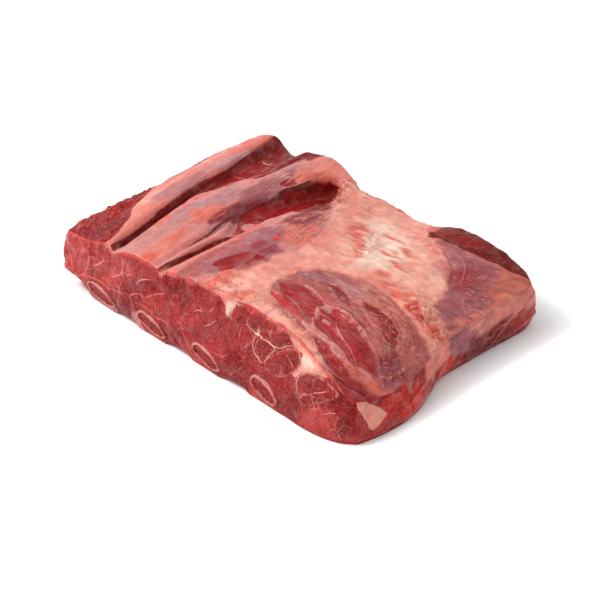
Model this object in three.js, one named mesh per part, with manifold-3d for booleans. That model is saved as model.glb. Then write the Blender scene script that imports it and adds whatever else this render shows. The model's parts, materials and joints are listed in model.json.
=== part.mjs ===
// Raw beef chuck short ribs: one slab of meat with four rib bones running through it, and a fat
// cover over part of the top. Millimetres, +Z up. X runs across the ribs, Y along them, and the
// cut face that shows the rib ends looks towards -Y. The origin is under the middle of the slab.
import * as THREE from "three";
import { mergeVertices } from "three/addons/utils/BufferGeometryUtils.js";
import Module from "manifold-3d";

const wasm = await Module();
wasm.setup();

// ---- Driving dimensions ----
// A list of pairs is a smooth curve: each pair is a station and the value there.

const halfWidth = 88; // nominal half width along the ribs
const gap = 0.3; // clearance between neighbouring pieces
const rows = 38; // grid rows along the ribs
const wallRows = 5; // rows down a side wall
const footRows = 4; // rows across the underside
const narrowest = 1.3; // least distance between two grid columns

// The rim of the top: y along x for front and back, x along y for the two ends.
const rim = {
  front: [[-128, -81], [-120, -82], [-60, -82], [-20, -80.5], [20, -79], [36, -76.5], [56, -75],
    [76, -76.5], [96, -80], [112, -80], [122, -75]],
  back: [[-118, 82], [-108, 87], [-98, 90], [-84, 87.5], [-77, 88], [-70, 85], [-62, 90.5], [-50, 92],
    [-38, 91.5], [-30, 88], [-21, 83.5], [-8, 84], [4, 86.5], [22, 86], [34, 83.5], [44, 81.5], [54, 85],
    [66, 88], [90, 87.5], [112, 87], [124, 85]],
  left: [[-88, -125], [-80, -126], [-62, -125.5], [-42, -122.5], [-20, -119], [0, -118], [25, -117.5],
    [42, -118.5], [60, -117.5], [78, -115], [88, -112]],
  right: [[-88, 119], [-78, 122], [-64, 124.5], [-45, 125], [-30, 124], [-14, 121], [0, 120], [40, 121],
    [66, 123], [80, 124], [88, 122]],
};

// Height of the top before its furrows, by stations across (rows of the list) and along the ribs.
const heightStations = {
  across: [-128, -100, -64, -22, 22, 64, 100, 128],
  along: [-91, -50, -5, 40, 91],
  heights: [
    [41, 44, 45, 45, 43],
    [42, 46, 47, 48, 46],
    [45, 49, 49, 49, 47],
    [50, 52, 51, 48, 40],
    [54, 53, 51, 44, 36],
    [50, 48, 47, 42, 43],
    [36, 40, 40, 37, 39],
    [16, 17, 20, 25, 28],
  ],
};

// Side walls: how far the middle and the foot of each wall stand out from the rim, and how far the
// foot then curls in under the slab.
const walls = {
  front: {
    bulge: [[-127, 2], [-90, 2], [0, 3], [60, 4], [127, 3]],
    foot: [[-127, 1], [-110, 4], [-45, 8.5], [10, 13], [60, 19.5], [92, 17], [110, 14], [127, 11]],
    tuck: [[-127, 5], [-105, 3], [127, 2.5]],
  },
  back: {
    bulge: [[-127, 2], [127, 2]],
    foot: [[-127, -2], [0, 2], [70, 2], [127, 0]],
    tuck: [[-127, 2.5], [127, 2.5]],
  },
  left: {
    bulge: [[-88, 4.5], [-50, 5], [0, 4], [88, 4]],
    foot: [[-88, 3], [-50, 2], [0, -2], [88, -2]],
    tuck: [[-88, 16], [-60, 14], [-20, 8], [88, 6]],
  },
  right: {
    bulge: [[-88, 2], [-45, 2], [0, 1], [88, 2]],
    foot: [[-88, 11], [-60, 10], [-40, 9], [-18, 4], [-6, 0], [20, 2], [88, 3]],
    tuck: [[-88, 2.5], [88, 2.5]],
  },
};
const tuckFrom = 0.72; // share of the way down a wall where the curl begins
const underside = { lift: 3.2, flatHalfWidth: 11, fade: 7, lastHollow: 58 }; // hollows between the ribs

// Furrows: the x of their bottom along y, and their depth.
const firstFurrow = {
  path: [[-92, -80.5], [-60, -83], [-30, -88], [0, -93], [30, -95], [60, -96.5], [94, -97.5]],
  depth: [[-92, 1.5], [-81, 2.5], [-70, 6.5], [-20, 8], [10, 4], [94, 1]],
  halfWidth: 3,
};
const ridgeCrease = {
  path: [[-92, -43], [-60, -44.5], [-40, -44.5], [-20, -46.5], [0, -49]],
  depth: [[-92, 0.5], [-60, 3], [-25, 4], [-5, 0]],
  halfWidth: 2.4,
};
const secondFurrow = {
  path: [[-92, -38.5], [-70, -37.5], [-55, -35.5], [-35, -33], [-10, -31]],
  depth: [[-92, 1.5], [-79, 2.5], [-68, 6.5], [-35, 7], [-18, 2], [-8, 0]],
  halfWidth: 2.8,
};

// Troughs where a muscle was peeled off: two edges, the width of the left wall, and the depth.
const firstTrough = {
  leftEdge: [[-12, -91], [30, -94], [60, -93], [94, -90]],
  rightEdge: [[-12, -88], [0, -86], [10, -81], [25, -77.5], [36, -72.5], [48, -70], [94, -67]],
  wall: [[-12, 3], [30, 5], [60, 9], [94, 14]],
  depth: [[-12, 0], [5, 4], [40, 6.5], [94, 6.5]],
  lean: 0.35,
};
const pocket = {
  leftEdge: [[-92, -41], [-60, -38.5], [-35, -36], [-25, -38], [-10, -45], [0, -46.5], [20, -45.5],
    [45, -43], [62, -41.5], [72, -39], [80, -35.5]],
  rightEdge: [[-92, -36], [-60, -34], [-35, -30.5], [-10, -29], [0, -30.5], [10, -27], [25, -24],
    [40, -20], [52, -17], [62, -19], [70, -24], [80, -33]],
  wall: [[-40, 3], [-12, 5], [0, 11], [22, 10], [40, 4], [80, 3]],
  depth: [[-38, 0], [-15, 5], [20, 8], [50, 11], [66, 13], [74, 10], [80, 0]],
  lean: 0.55,
};

const bands = [ // rounded muscle bands: centre x along y, half width, crown
  { path: [[-92, -88], [-40, -98], [0, -104], [50, -107], [94, -107]], halfWidth: 11, crown: 3.5 },
  { path: [[-92, -62], [-20, -66], [20, -64], [60, -57], [94, -55]], halfWidth: 16, crown: 3.5 },
  { path: [[-92, -18], [-30, -14], [20, -12], [60, -2]], halfWidth: 16, crown: 2 },
];
const mounds = [ // low swellings: centre, reach along x and y, rise
  { centre: [-71, 76], reach: [5, 24], rise: 3 },
  { centre: [84, 82], reach: [42, 12], rise: 2.5 },
];
// Muscle strips in the window at the right of the front: ridges along x.
const strips = { centre: [78, -50], reach: [40, 24], spacing: 13, slope: 0.16, height: 1.1 };

// The fat cover's outline in plan. It runs past the slab where the fat shows at a side.
const fatOutline = [
  [2, -112], [-3, -60], [4, -35], [10, -12], [8, 10], [0, 30], [-12, 48], [-16, 58], [-22, 70], [-31, 83],
  [-44, 74], [-49, 63], [-58, 58], [-65, 64], [-66, 112], [41, 112], [42, 84], [48, 74], [60, 67], [80, 56],
  [90, 45], [97, 30], [104, 14], [116, 8], [150, 6], [150, -18], [126, -14], [100, -9], [70, -3], [45, -10],
  [31, -22], [27, -40], [31, -56], [46, -65], [66, -69], [86, -73], [102, -82], [108, -112],
];
const fat = { thickness: 3.6, wedge: 7, wedgeAt: [83, -84], wedgeReach: 18, cell: 7 };
const cutter = { west: -80, east: 160, south: -120, north: 120, ceiling: 100 }; // block round the fat

// The ribs: the x where each one leaves the front cut, its half width and height, and its tilt.
const ribs = [
  { x: -91, halfWidth: 13.8, halfHeight: 6.4, tilt: 12 },
  { x: -43, halfWidth: 12.8, halfHeight: 6.4, tilt: 20 },
  { x: 7, halfWidth: 12.6, halfHeight: 6.3, tilt: 20 },
  { x: 57, halfWidth: 12.2, halfHeight: 6.3, tilt: 22 },
];
const rib = { slant: -0.03, height: 9, cortex: 2.1, sides: 18, proud: 0.4, recess: 0.7 };
const through = 9; // how far a cutting bar runs on beyond both walls

const colours = { meat: 0x9a2f35, fat: 0xe6a08c, bone: 0xd9b3a2, marrow: 0x8a2e2c };

// ---- Small helpers ----

// The value at t of a curve given by pairs (a cubic through the stations, level beyond the ends).
function at(pairs, t) {
  const last = pairs.length - 1;
  if (t <= pairs[0][0]) return pairs[0][1];
  if (t >= pairs[last][0]) return pairs[last][1];
  let k = 0;
  while (t > pairs[k + 1][0]) k++;
  const [a, b] = [pairs[k], pairs[k + 1]];
  const span = b[0] - a[0];
  const slope = (p, q) => (q[1] - p[1]) / (q[0] - p[0]);
  const before = k > 0 ? slope(pairs[k - 1], b) * span : b[1] - a[1];
  const after = k + 2 <= last ? slope(a, pairs[k + 2]) * span : b[1] - a[1];
  const s = (t - a[0]) / span;
  return a[1] * (2 * s ** 3 - 3 * s ** 2 + 1) + before * (s ** 3 - 2 * s ** 2 + s)
    + b[1] * (3 * s ** 2 - 2 * s ** 3) + after * (s ** 3 - s ** 2);
}
const mix = (a, b, s) => a + (b - a) * s;
const hump = (distance, reach) => Math.exp(-((distance / reach) ** 2));
const smooth = (from, to, t) => {
  const s = Math.min(1, Math.max(0, (t - from) / (to - from)));
  return s * s * (3 - 2 * s);
};

// ---- The top ----

function baseHeight(x, y) {
  const { across, along, heights } = heightStations;
  const profile = heights.map((list, i) => [across[i], at(list.map((z, j) => [along[j], z]), y)]);
  return at(profile, x);
}

const furrowDepth = ({ path, depth, halfWidth: reach }, x, y) => (
  at(depth, y) * hump(x - at(path, y), reach)
);

// A trough falls down its left wall and eases out towards its right edge.
function troughDepth({ leftEdge, rightEdge, wall, depth, lean }, x, y) {
  const [left, right] = [at(leftEdge, y), at(rightEdge, y)];
  const down = smooth(left - at(wall, y), left + 1, x);
  const up = smooth(mix(left, right, lean), right + 1, x);
  return at(depth, y) * down * (1 - up);
}

function swelling(x, y) {
  let rise = 0;
  for (const { path, halfWidth: reach, crown } of bands) rise += crown * hump(x - at(path, y), reach);
  for (const { centre, reach, rise: top } of mounds) {
    rise += top * hump(x - centre[0], reach[0]) * hump(y - centre[1], reach[1]);
  }
  return rise;
}

function stripRelief(x, y) {
  const { centre, reach, spacing, slope, height } = strips;
  const [dx, dy] = [x - centre[0], y - centre[1]];
  const phase = (2 * Math.PI * (dy + slope * dx)) / spacing;
  return height * Math.cos(phase) * hump(dx, reach[0]) * hump(dy, reach[1]);
}

const uncutHeight = (x, y) => baseHeight(x, y) + swelling(x, y) + stripRelief(x, y);
const cutDepth = (x, y) => Math.max(
  furrowDepth(firstFurrow, x, y) + troughDepth(firstTrough, x, y),
  troughDepth(pocket, x, y),
  furrowDepth(secondFurrow, x, y),
  furrowDepth(ridgeCrease, x, y),
);

// ---- The slab ----

// Grid columns follow the furrows. Each guide is a curve with a shift along x, and the number of
// columns up to it. A trough's guide keeps at least `beyond` away from the furrow beside it.
const beyond = 7;
const guides = [
  { along: rim.left, shift: 0, columns: 0 },
  { along: firstFurrow.path, shift: -4.5, columns: 7 },
  { along: firstFurrow.path, shift: -1.3, columns: 1 },
  { along: firstFurrow.path, shift: 1.3, columns: 1 },
  { along: firstFurrow.path, shift: 4.5, columns: 1 },
  { along: firstTrough.rightEdge, shift: 0, columns: 3, beside: firstFurrow.path },
  { along: ridgeCrease.path, shift: -3.5, columns: 6 },
  { along: ridgeCrease.path, shift: -0.5, columns: 1 },
  { along: pocket.leftEdge, shift: -1.5, columns: 2 },
  { along: pocket.leftEdge, shift: 1.5, columns: 1 },
  { along: pocket.rightEdge, shift: -1, columns: 3 },
  { along: pocket.rightEdge, shift: 2.5, columns: 1 },
  { along: rim.right, shift: 0, columns: 22 },
];

function columnsAt(y) {
  const list = [];
  let previous = -Infinity;
  guides.forEach(({ along, shift, columns, beside }) => {
    const least = beside ? at(beside, y) + beyond : -Infinity;
    const here = Math.max(at(along, y) + shift, least, previous + narrowest * columns);
    for (let k = 1; k < columns; k++) list.push(mix(previous, here, k / columns));
    list.push(here);
    previous = here;
  });
  return list;
}

// The underside touches down in a flat strip under each rib and is hollow between them; the thin end
// past the last rib lies flat.
const ribX = (bone, y) => bone.x + rib.slant * (y + halfWidth);
function footHeight(x, y) {
  const { lift, flatHalfWidth: flat, fade, lastHollow } = underside;
  const nearest = Math.min(...ribs.map((bone) => Math.abs(x - ribX(bone, y))));
  return lift * smooth(flat, flat + fade, nearest) * (1 - smooth(lastHollow, lastHollow + fade, x));
}

// How far a wall stands out from the rim at the share w of the way from the rim to the foot.
function standOut({ bulge, foot, tuck }, w) {
  return bulge * 4 * w * (1 - w) + foot * w ** 1.4 - tuck * smooth(tuckFrom, 1, w);
}
const wallAt = (wall, t) => ({
  bulge: at(wall.bulge, t),
  foot: at(wall.foot, t),
  tuck: at(wall.tuck, t),
});

// Where the front or back wall is at a given x and height.
function wallY(side, x, z) {
  const rimY = at(rim[side], x);
  const [full, low] = [uncutHeight(x, rimY), footHeight(x, rimY)];
  const out = standOut(wallAt(walls[side], x), Math.min(1, 1 - (z - low) / (full - low)));
  return side === "front" ? rimY - out : rimY + out;
}

// A closed loop of wall shapes, averaged round a few times so that walls meet evenly at the corners.
function evened(shapes) {
  let list = shapes;
  for (let pass = 0; pass < 5; pass++) {
    list = list.map((shape, k) => {
      const [before, after] = [list.at(k - 1), list[(k + 1) % list.length]];
      const even = (key) => (before[key] + 2 * shape[key] + after[key]) / 4;
      return { bulge: even("bulge"), foot: even("foot"), tuck: even("tuck") };
    });
  }
  return list;
}

// The outward direction in plan at each point of a closed counter-clockwise loop.
function outward(points) {
  const reach = 2;
  return points.map((_, k) => {
    const [a, b] = [points.at(k - reach), points[(k + reach) % points.length]];
    return new THREE.Vector2(b[1] - a[1], a[0] - b[0]).normalize();
  });
}

// Fills between two rows of points with unequal counts, always closing the shorter diagonal.
function zip(outer, inner, vertices, faces) {
  const length = (a, b) => Math.hypot(...vertices[a].map((v, n) => v - vertices[b][n]));
  let [i, j] = [0, 0];
  while (i < outer.length - 1 || j < inner.length - 1) {
    const outerNext = i < outer.length - 1 && (j === inner.length - 1
      || length(outer[i + 1], inner[j]) < length(outer[i], inner[j + 1]));
    if (outerNext) faces.push([outer[i], inner[j], outer[++i]]);
    else faces.push([outer[i], inner[j], inner[++j]]);
  }
}

function makeSlab() {
  const vertices = [];
  const faces = [];
  const add = (x, y, z) => vertices.push([x, y, z]) - 1;
  const quad = (a, b, c, d) => faces.push([a, b, c], [a, c, d]);

  // Top: grid[j][i], row by row from the front cut to the back.
  const topPoint = (x, share) => {
    const y = mix(at(rim.front, x), at(rim.back, x), share);
    return add(x, y, uncutHeight(x, y) - cutDepth(x, y));
  };
  const grid = Array.from({ length: rows + 1 }, (_, j) => (
    columnsAt(mix(-halfWidth, halfWidth, j / rows)).map((x) => topPoint(x, j / rows))
  ));
  const nx = grid[0].length - 1;
  for (let j = 0; j < rows; j++) {
    for (let i = 0; i < nx; i++) quad(grid[j][i], grid[j][i + 1], grid[j + 1][i + 1], grid[j + 1][i]);
  }

  // Walls: rings that go down from the rim, counter-clockwise seen from above.
  const loop = [];
  for (let i = 0; i < nx; i++) loop.push([grid[0][i], walls.front, 0]);
  for (let j = 0; j < rows; j++) loop.push([grid[j][nx], walls.right, 1]);
  for (let i = nx; i > 0; i--) loop.push([grid[rows][i], walls.back, 0]);
  for (let j = rows; j > 0; j--) loop.push([grid[j][0], walls.left, 1]);
  const rimPoints = loop.map(([index]) => [...vertices[index]]);
  const normals = outward(rimPoints);
  const shapes = evened(loop.map(([, wall, axis], k) => wallAt(wall, rimPoints[k][axis])));
  const rings = [];
  for (let row = 0; row <= wallRows; row++) {
    rings.push(rimPoints.map(([x, y, z], k) => {
      const start = cutDepth(x, y) / uncutHeight(x, y); // where a furrow opens the wall's top edge
      const out = standOut(shapes[k], mix(start, 1, row / wallRows));
      const [px, py] = [x + normals[k].x * out, y + normals[k].y * out];
      if (row > 0) return add(px, py, mix(z, footHeight(px, py), row / wallRows));
      vertices[loop[k][0]] = [px, py, z];
      return loop[k][0];
    }));
  }
  for (let row = 0; row < wallRows; row++) {
    const [upper, lower] = [rings[row], rings[row + 1]];
    upper.forEach((point, k) => {
      const n = (k + 1) % upper.length;
      quad(point, lower[k], lower[n], upper[n]);
    });
  }

  // Underside: strips from the front foot to the back foot, bowed like the feet of the two end walls
  // so that they stay inside the foot, and zipped to those walls.
  const foot = rings[wallRows];
  const front = foot.slice(0, nx + 1);
  const back = foot.slice(nx + rows, 2 * nx + rows + 1).reverse();
  const rightFoot = foot.slice(nx, nx + rows + 1);
  const leftFoot = [...foot.slice(2 * nx + rows), foot[0]].reverse();
  const bow = (side, t) => {
    const [start, end, here] = [side[0], side[rows], side[Math.round(t * rows)]].map((k) => vertices[k][0]);
    return here - mix(start, end, t);
  };
  const lanes = front.map((start, i) => Array.from({ length: footRows + 1 }, (_, j) => {
    if (j === 0 || j === footRows) return j ? back[i] : start;
    const [p, q, t] = [vertices[start], vertices[back[i]], j / footRows];
    const x = mix(p[0], q[0], t) + mix(bow(leftFoot, t), bow(rightFoot, t), i / nx);
    const y = mix(p[1], q[1], t);
    return add(x, y, footHeight(x, y));
  }));
  for (let i = 1; i < nx - 1; i++) {
    const [lane, next] = [lanes[i], lanes[i + 1]];
    for (let j = 0; j < footRows; j++) quad(lane[j], lane[j + 1], next[j + 1], next[j]);
  }
  zip([front[nx - 1], ...rightFoot, back[nx - 1]], lanes[nx - 1], vertices, faces);
  zip(lanes[1], [front[1], ...leftFoot, back[1]], vertices, faces);
  return solidFrom(vertices, faces);
}

// ---- Solids ----

function solidFrom(vertices, faces) {
  const kept = faces.filter(([a, b, c]) => a !== b && b !== c && a !== c);
  return new wasm.Manifold(new wasm.Mesh({
    numProp: 3,
    vertProperties: new Float32Array(vertices.flat()),
    triVerts: new Uint32Array(kept.flat()),
  }));
}

function solidOf(geometry) {
  geometry.deleteAttribute("normal");
  geometry.deleteAttribute("uv");
  const { attributes, index } = mergeVertices(geometry, 1e-4);
  return new wasm.Manifold(new wasm.Mesh({
    numProp: 3,
    vertProperties: new Float32Array(attributes.position.array),
    triVerts: new Uint32Array(index.array),
  }));
}

function fatFloor(x, y) {
  const away = Math.hypot(x - fat.wedgeAt[0], y - fat.wedgeAt[1]);
  return baseHeight(x, y) + swelling(x, y) - fat.thickness - fat.wedge * hump(away, fat.wedgeReach);
}

// All that lies above the fat's underside and inside its outline, both grown by `clearance`.
function fatRegion(clearance) {
  const curve = new THREE.SplineCurve(fatOutline.map(([x, y]) => new THREE.Vector2(x, y)));
  const points = curve.getPoints(fatOutline.length * 3);
  const grown = points.map((point, k) => {
    const [a, b] = [points[Math.max(k - 1, 0)], points[Math.min(k + 1, points.length - 1)]];
    const across = new THREE.Vector2(b.y - a.y, a.x - b.x).normalize();
    return point.clone().addScaledVector(across, -clearance);
  });
  const { west, east, south, north, ceiling } = cutter;
  const tall = { depth: 2 * ceiling, bevelEnabled: false };
  const prism = new THREE.ExtrudeGeometry(new THREE.Shape(grown), tall);
  prism.translate(0, 0, -ceiling / 2);

  const [nx, ny] = [Math.round((east - west) / fat.cell), Math.round((north - south) / fat.cell)];
  const block = new THREE.BoxGeometry(east - west, north - south, ceiling, nx, ny, 1);
  block.translate((east + west) / 2, (north + south) / 2, ceiling / 2);
  const place = block.attributes.position;
  for (let k = 0; k < place.count; k++) {
    if (place.getZ(k) < 1) place.setZ(k, fatFloor(place.getX(k), place.getY(k)) - clearance);
  }
  return solidOf(block).intersect(solidOf(prism));
}

// A bar of elliptical section along a rib, its section grown by `growth` and its ends by `overrun`
// beyond the slab's front and back walls.
function ribBar(bone, growth, overrun) {
  const { sides } = rib;
  const turn = THREE.MathUtils.degToRad(-bone.tilt);
  const vertices = [];
  const faces = [];
  for (const side of ["front", "back"]) {
    const [outwards, faceY] = side === "front" ? [-1, -halfWidth] : [1, halfWidth];
    for (let n = 0; n < sides; n++) {
      const angle = (2 * Math.PI * n) / sides;
      const p = (bone.halfWidth + growth) * Math.cos(angle);
      const q = (bone.halfHeight + growth) * Math.sin(angle);
      const shift = p * Math.cos(turn) - q * Math.sin(turn);
      const z = rib.height + p * Math.sin(turn) + q * Math.cos(turn);
      const y = wallY(side, ribX(bone, faceY) + shift, z) + outwards * overrun;
      vertices.push([ribX(bone, y) + shift, y, z]);
    }
  }
  for (let n = 0; n < sides; n++) {
    const next = (n + 1) % sides;
    faces.push([n, sides + next, next], [n, sides + n, sides + next]);
    if (n > 0 && n < sides - 1) faces.push([0, n, next], [sides, sides + next, sides + n]);
  }
  return solidFrom(vertices, faces);
}

function meshOf(name, solid, colour, roughness) {
  const { vertProperties, triVerts } = solid.getMesh();
  const geometry = new THREE.BufferGeometry();
  geometry.setAttribute("position", new THREE.BufferAttribute(vertProperties, 3));
  geometry.setIndex(new THREE.BufferAttribute(triVerts, 1));
  geometry.computeVertexNormals();
  const material = new THREE.MeshStandardMaterial({ color: colour, roughness, metalness: 0 });
  const mesh = new THREE.Mesh(geometry, material);
  mesh.name = name;
  return mesh;
}

// ---- The object ----

const shortRibs = new THREE.Group();
const slab = makeSlab();
let meat = slab.subtract(fatRegion(gap));
for (const bone of ribs) meat = meat.subtract(ribBar(bone, gap, through));
shortRibs.add(meshOf("meat", meat, colours.meat, 0.5));
shortRibs.add(meshOf("fat_cover", slab.intersect(fatRegion(0)), colours.fat, 0.45));
ribs.forEach((bone, k) => {
  const cortex = ribBar(bone, 0, rib.proud).subtract(ribBar(bone, -rib.cortex, through));
  const marrow = ribBar(bone, -rib.cortex - gap, rib.proud - rib.recess);
  shortRibs.add(meshOf(`rib_bone_${k + 1}`, cortex, colours.bone, 0.6));
  shortRibs.add(meshOf(`rib_marrow_${k + 1}`, marrow, colours.marrow, 0.7));
});

export default shortRibs;
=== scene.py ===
import json
import math

import bpy
import numpy as np
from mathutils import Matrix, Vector
from mathutils.kdtree import KDTree

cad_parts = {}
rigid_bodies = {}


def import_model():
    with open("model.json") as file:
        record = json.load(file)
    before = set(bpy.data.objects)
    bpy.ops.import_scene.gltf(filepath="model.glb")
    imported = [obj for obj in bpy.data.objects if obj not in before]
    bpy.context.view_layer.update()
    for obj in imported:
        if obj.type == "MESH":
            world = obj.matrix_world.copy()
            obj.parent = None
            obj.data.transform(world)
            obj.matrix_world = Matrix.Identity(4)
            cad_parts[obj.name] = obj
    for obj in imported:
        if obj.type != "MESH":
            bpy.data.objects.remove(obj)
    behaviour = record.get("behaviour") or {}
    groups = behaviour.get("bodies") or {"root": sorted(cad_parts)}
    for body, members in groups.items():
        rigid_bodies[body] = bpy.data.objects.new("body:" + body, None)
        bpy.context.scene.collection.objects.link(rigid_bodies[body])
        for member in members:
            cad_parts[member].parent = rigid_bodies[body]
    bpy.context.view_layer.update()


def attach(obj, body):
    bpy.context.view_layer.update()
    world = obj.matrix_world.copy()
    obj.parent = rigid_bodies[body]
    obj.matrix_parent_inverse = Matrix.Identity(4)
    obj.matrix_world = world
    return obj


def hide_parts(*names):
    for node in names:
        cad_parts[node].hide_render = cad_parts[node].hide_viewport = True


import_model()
mm = 0.001


# Numbers and curves. A curve is a list of (station, value) pairs in millimetres.

def mix(a, b, share):
    return a + (b - a) * share


def smooth(low, high, value):
    share = np.clip((value - low) / (high - low), 0, 1)
    return share * share * (3 - 2 * share)


def hump(distance, reach):
    return np.exp(-((distance / reach) ** 2))


def through(places, values, t):
    # a cubic through the stations, level beyond the ends; values may hold a column for each t
    t = np.clip(t, places[0], places[-1])
    wide = places.reshape(-1, *[1] * (values.ndim - 1))
    slopes = np.empty_like(values)
    slopes[1:-1] = (values[2:] - values[:-2]) / (wide[2:] - wide[:-2])
    slopes[0] = (values[1] - values[0]) / (places[1] - places[0])
    slopes[-1] = (values[-1] - values[-2]) / (places[-1] - places[-2])
    k = np.clip(np.searchsorted(places, t, side="right") - 1, 0, len(places) - 2)
    span = places[k + 1] - places[k]
    s = (t - places[k]) / span
    at = (lambda rows, i: rows[i]) if values.ndim == 1 else (lambda rows, i: rows[i, np.arange(len(t))])
    return (at(values, k) * (2 * s ** 3 - 3 * s ** 2 + 1) + at(slopes, k) * span * (s ** 3 - 2 * s ** 2 + s)
            + at(values, k + 1) * (3 * s ** 2 - 2 * s ** 3) + at(slopes, k + 1) * span * (s ** 3 - s ** 2))


def curve(pairs, t):
    places, values = np.array(pairs, float).T
    return through(places, values, np.asarray(t, float))


def rounded(points, steps=5, closed=True):
    # a smooth line through the points
    p = np.array(points, float)
    p = np.vstack([p[-1:], p, p[:2]]) if closed else np.vstack([p[:1], p, p[-1:]])
    s = (np.arange(steps) / steps)[:, None]
    line = []
    for a, b, c, d in zip(p[:-3], p[1:-2], p[2:-1], p[3:]):
        line.append(b + s * (c - a) / 2 + s ** 2 * (a - 2.5 * b + 2 * c - d / 2)
                    + s ** 3 * (-a + 3 * b - 3 * c + d) / 2)
    return np.vstack(line if closed else line + [p[-2:-1]])


latticeSize = 64
crisp = 1.3  # patches softer than this many mm are painted, the others cut out
lattice = np.random.default_rng(11).random((latticeSize,) * 3) * 2 - 1
seedStep = np.array([3.17, 7.31, 5.53])  # how far apart the noises of two seeds lie


def noise(points, size, seed=0):
    # smooth lumps about as wide as size, from -1 to 1
    p = points / np.asarray(size, float) + seedStep * (seed + 1)
    cell = np.floor(p).astype(int)
    f = p - cell
    f = f * f * (3 - 2 * f)
    total = np.zeros(len(p))
    for i in (0, 1):
        for j in (0, 1):
            for k in (0, 1):
                corner = (cell + [i, j, k]) % latticeSize
                weight = np.abs(1 - i - f[:, 0]) * np.abs(1 - j - f[:, 1]) * np.abs(1 - k - f[:, 2])
                total += weight * lattice[corner[:, 0], corner[:, 1], corner[:, 2]]
    return total


def layers(points, size, count, seed=0):
    size = np.asarray(size, float)
    return sum(noise(points, size / 2 ** k, seed + 13 * k) / 2 ** k for k in range(count)) / 1.4


# The slab's form: the same sizes as the frame's solids.
slab = {
    "halfWidth": 88, "columnsPerGuide": [46, 4, 4, 4, 20, 28, 4, 6, 4, 14, 4, 132], "rows": 168,
    "wallRows": 42, "footRows": 28, "narrowest": 1.3,
    "rim": {
        "front": [(-128, -81), (-120, -82), (-60, -82), (-20, -80.5), (20, -79), (36, -76.5), (56, -75),
                  (76, -76.5), (96, -80), (112, -80), (122, -75)],
        "back": [(-118, 82), (-108, 87), (-98, 90), (-84, 87.5), (-77, 88), (-70, 85), (-62, 90.5), (-50, 92),
                 (-38, 91.5), (-30, 88), (-21, 83.5), (-8, 84), (4, 86.5), (22, 86), (34, 83.5), (44, 81.5),
                 (54, 85), (66, 88), (90, 87.5), (112, 87), (124, 85)],
        "left": [(-88, -125), (-80, -126), (-62, -125.5), (-42, -122.5), (-20, -119), (0, -118), (25, -117.5),
                 (42, -118.5), (60, -117.5), (78, -115), (88, -112)],
        "right": [(-88, 119), (-78, 122), (-64, 124.5), (-45, 125), (-30, 124), (-14, 121), (0, 120),
                  (40, 121), (66, 123), (80, 124), (88, 122)],
    },
    "across": [-128, -100, -64, -22, 22, 64, 100, 128],
    "along": [-91, -50, -5, 40, 91],
    "heights": [[41, 44, 45, 45, 43], [42, 46, 47, 48, 46], [45, 49, 49, 49, 47], [50, 52, 51, 48, 40],
                [54, 53, 51, 44, 36], [50, 48, 47, 42, 43], [36, 40, 40, 37, 39], [16, 17, 20, 25, 28]],
    "walls": {
        "front": {"bulge": [(-127, 2), (-90, 2), (0, 3), (60, 4), (127, 3)],
                  "foot": [(-127, 1), (-110, 4), (-45, 8.5), (10, 13), (60, 19.5), (92, 17), (110, 14),
                           (127, 11)],
                  "tuck": [(-127, 5), (-105, 3), (127, 2.5)]},
        "back": {"bulge": [(-127, 2), (127, 2)], "foot": [(-127, -2), (0, 2), (70, 2), (127, 0)],
                 "tuck": [(-127, 2.5), (127, 2.5)]},
        "left": {"bulge": [(-88, 4.5), (-50, 5), (0, 4), (88, 4)],
                 "foot": [(-88, 3), (-50, 2), (0, -2), (88, -2)],
                 "tuck": [(-88, 16), (-60, 14), (-20, 8), (88, 6)]},
        "right": {"bulge": [(-88, 2), (-45, 2), (0, 1), (88, 2)],
                  "foot": [(-88, 11), (-60, 10), (-40, 9), (-18, 4), (-6, 0), (20, 2), (88, 3)],
                  "tuck": [(-88, 2.5), (88, 2.5)]},
    },
    "tuckFrom": 0.72, "cornerEase": 8.5, "normalReach": 10,
    "underside": {"lift": 3.2, "flat": 11, "fade": 7, "lastHollow": 58},
}
firstFurrow = {"path": [(-92, -80.5), (-60, -83), (-30, -88), (0, -93), (30, -95), (60, -96.5), (94, -97.5)],
               "depth": [(-92, 1.5), (-81, 2.5), (-70, 6.5), (-20, 8), (10, 4), (94, 1)], "halfWidth": 3}
ridgeCrease = {"path": [(-92, -43), (-60, -44.5), (-40, -44.5), (-20, -46.5), (0, -49)],
               "depth": [(-92, 0.5), (-60, 3), (-25, 4), (-5, 0)], "halfWidth": 2.4}
secondFurrow = {"path": [(-92, -38.5), (-70, -37.5), (-55, -35.5), (-35, -33), (-10, -31)],
                "depth": [(-92, 1.5), (-79, 2.5), (-68, 6.5), (-35, 7), (-18, 2), (-8, 0)],
                "halfWidth": 2.8}
firstTrough = {"left": [(-12, -91), (30, -94), (60, -93), (94, -90)],
               "right": [(-12, -88), (0, -86), (10, -81), (25, -77.5), (36, -72.5), (48, -70), (94, -67)],
               "wall": [(-12, 3), (30, 5), (60, 9), (94, 14)],
               "depth": [(-12, 0), (5, 4), (40, 6.5), (94, 6.5)], "lean": 0.35}
pocket = {"left": [(-92, -41), (-60, -38.5), (-35, -36), (-25, -38), (-10, -45), (0, -46.5), (20, -45.5),
                   (45, -43), (62, -41.5), (72, -39), (80, -35.5)],
          "right": [(-92, -36), (-60, -34), (-35, -30.5), (-10, -29), (0, -30.5), (10, -27), (25, -24),
                    (40, -20), (52, -17), (62, -19), (70, -24), (80, -33)],
          "wall": [(-40, 3), (-12, 5), (0, 11), (22, 10), (40, 4), (80, 3)],
          "depth": [(-38, 0), (-15, 5), (20, 8), (50, 11), (66, 13), (74, 10), (80, 0)], "lean": 0.55}
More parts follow.
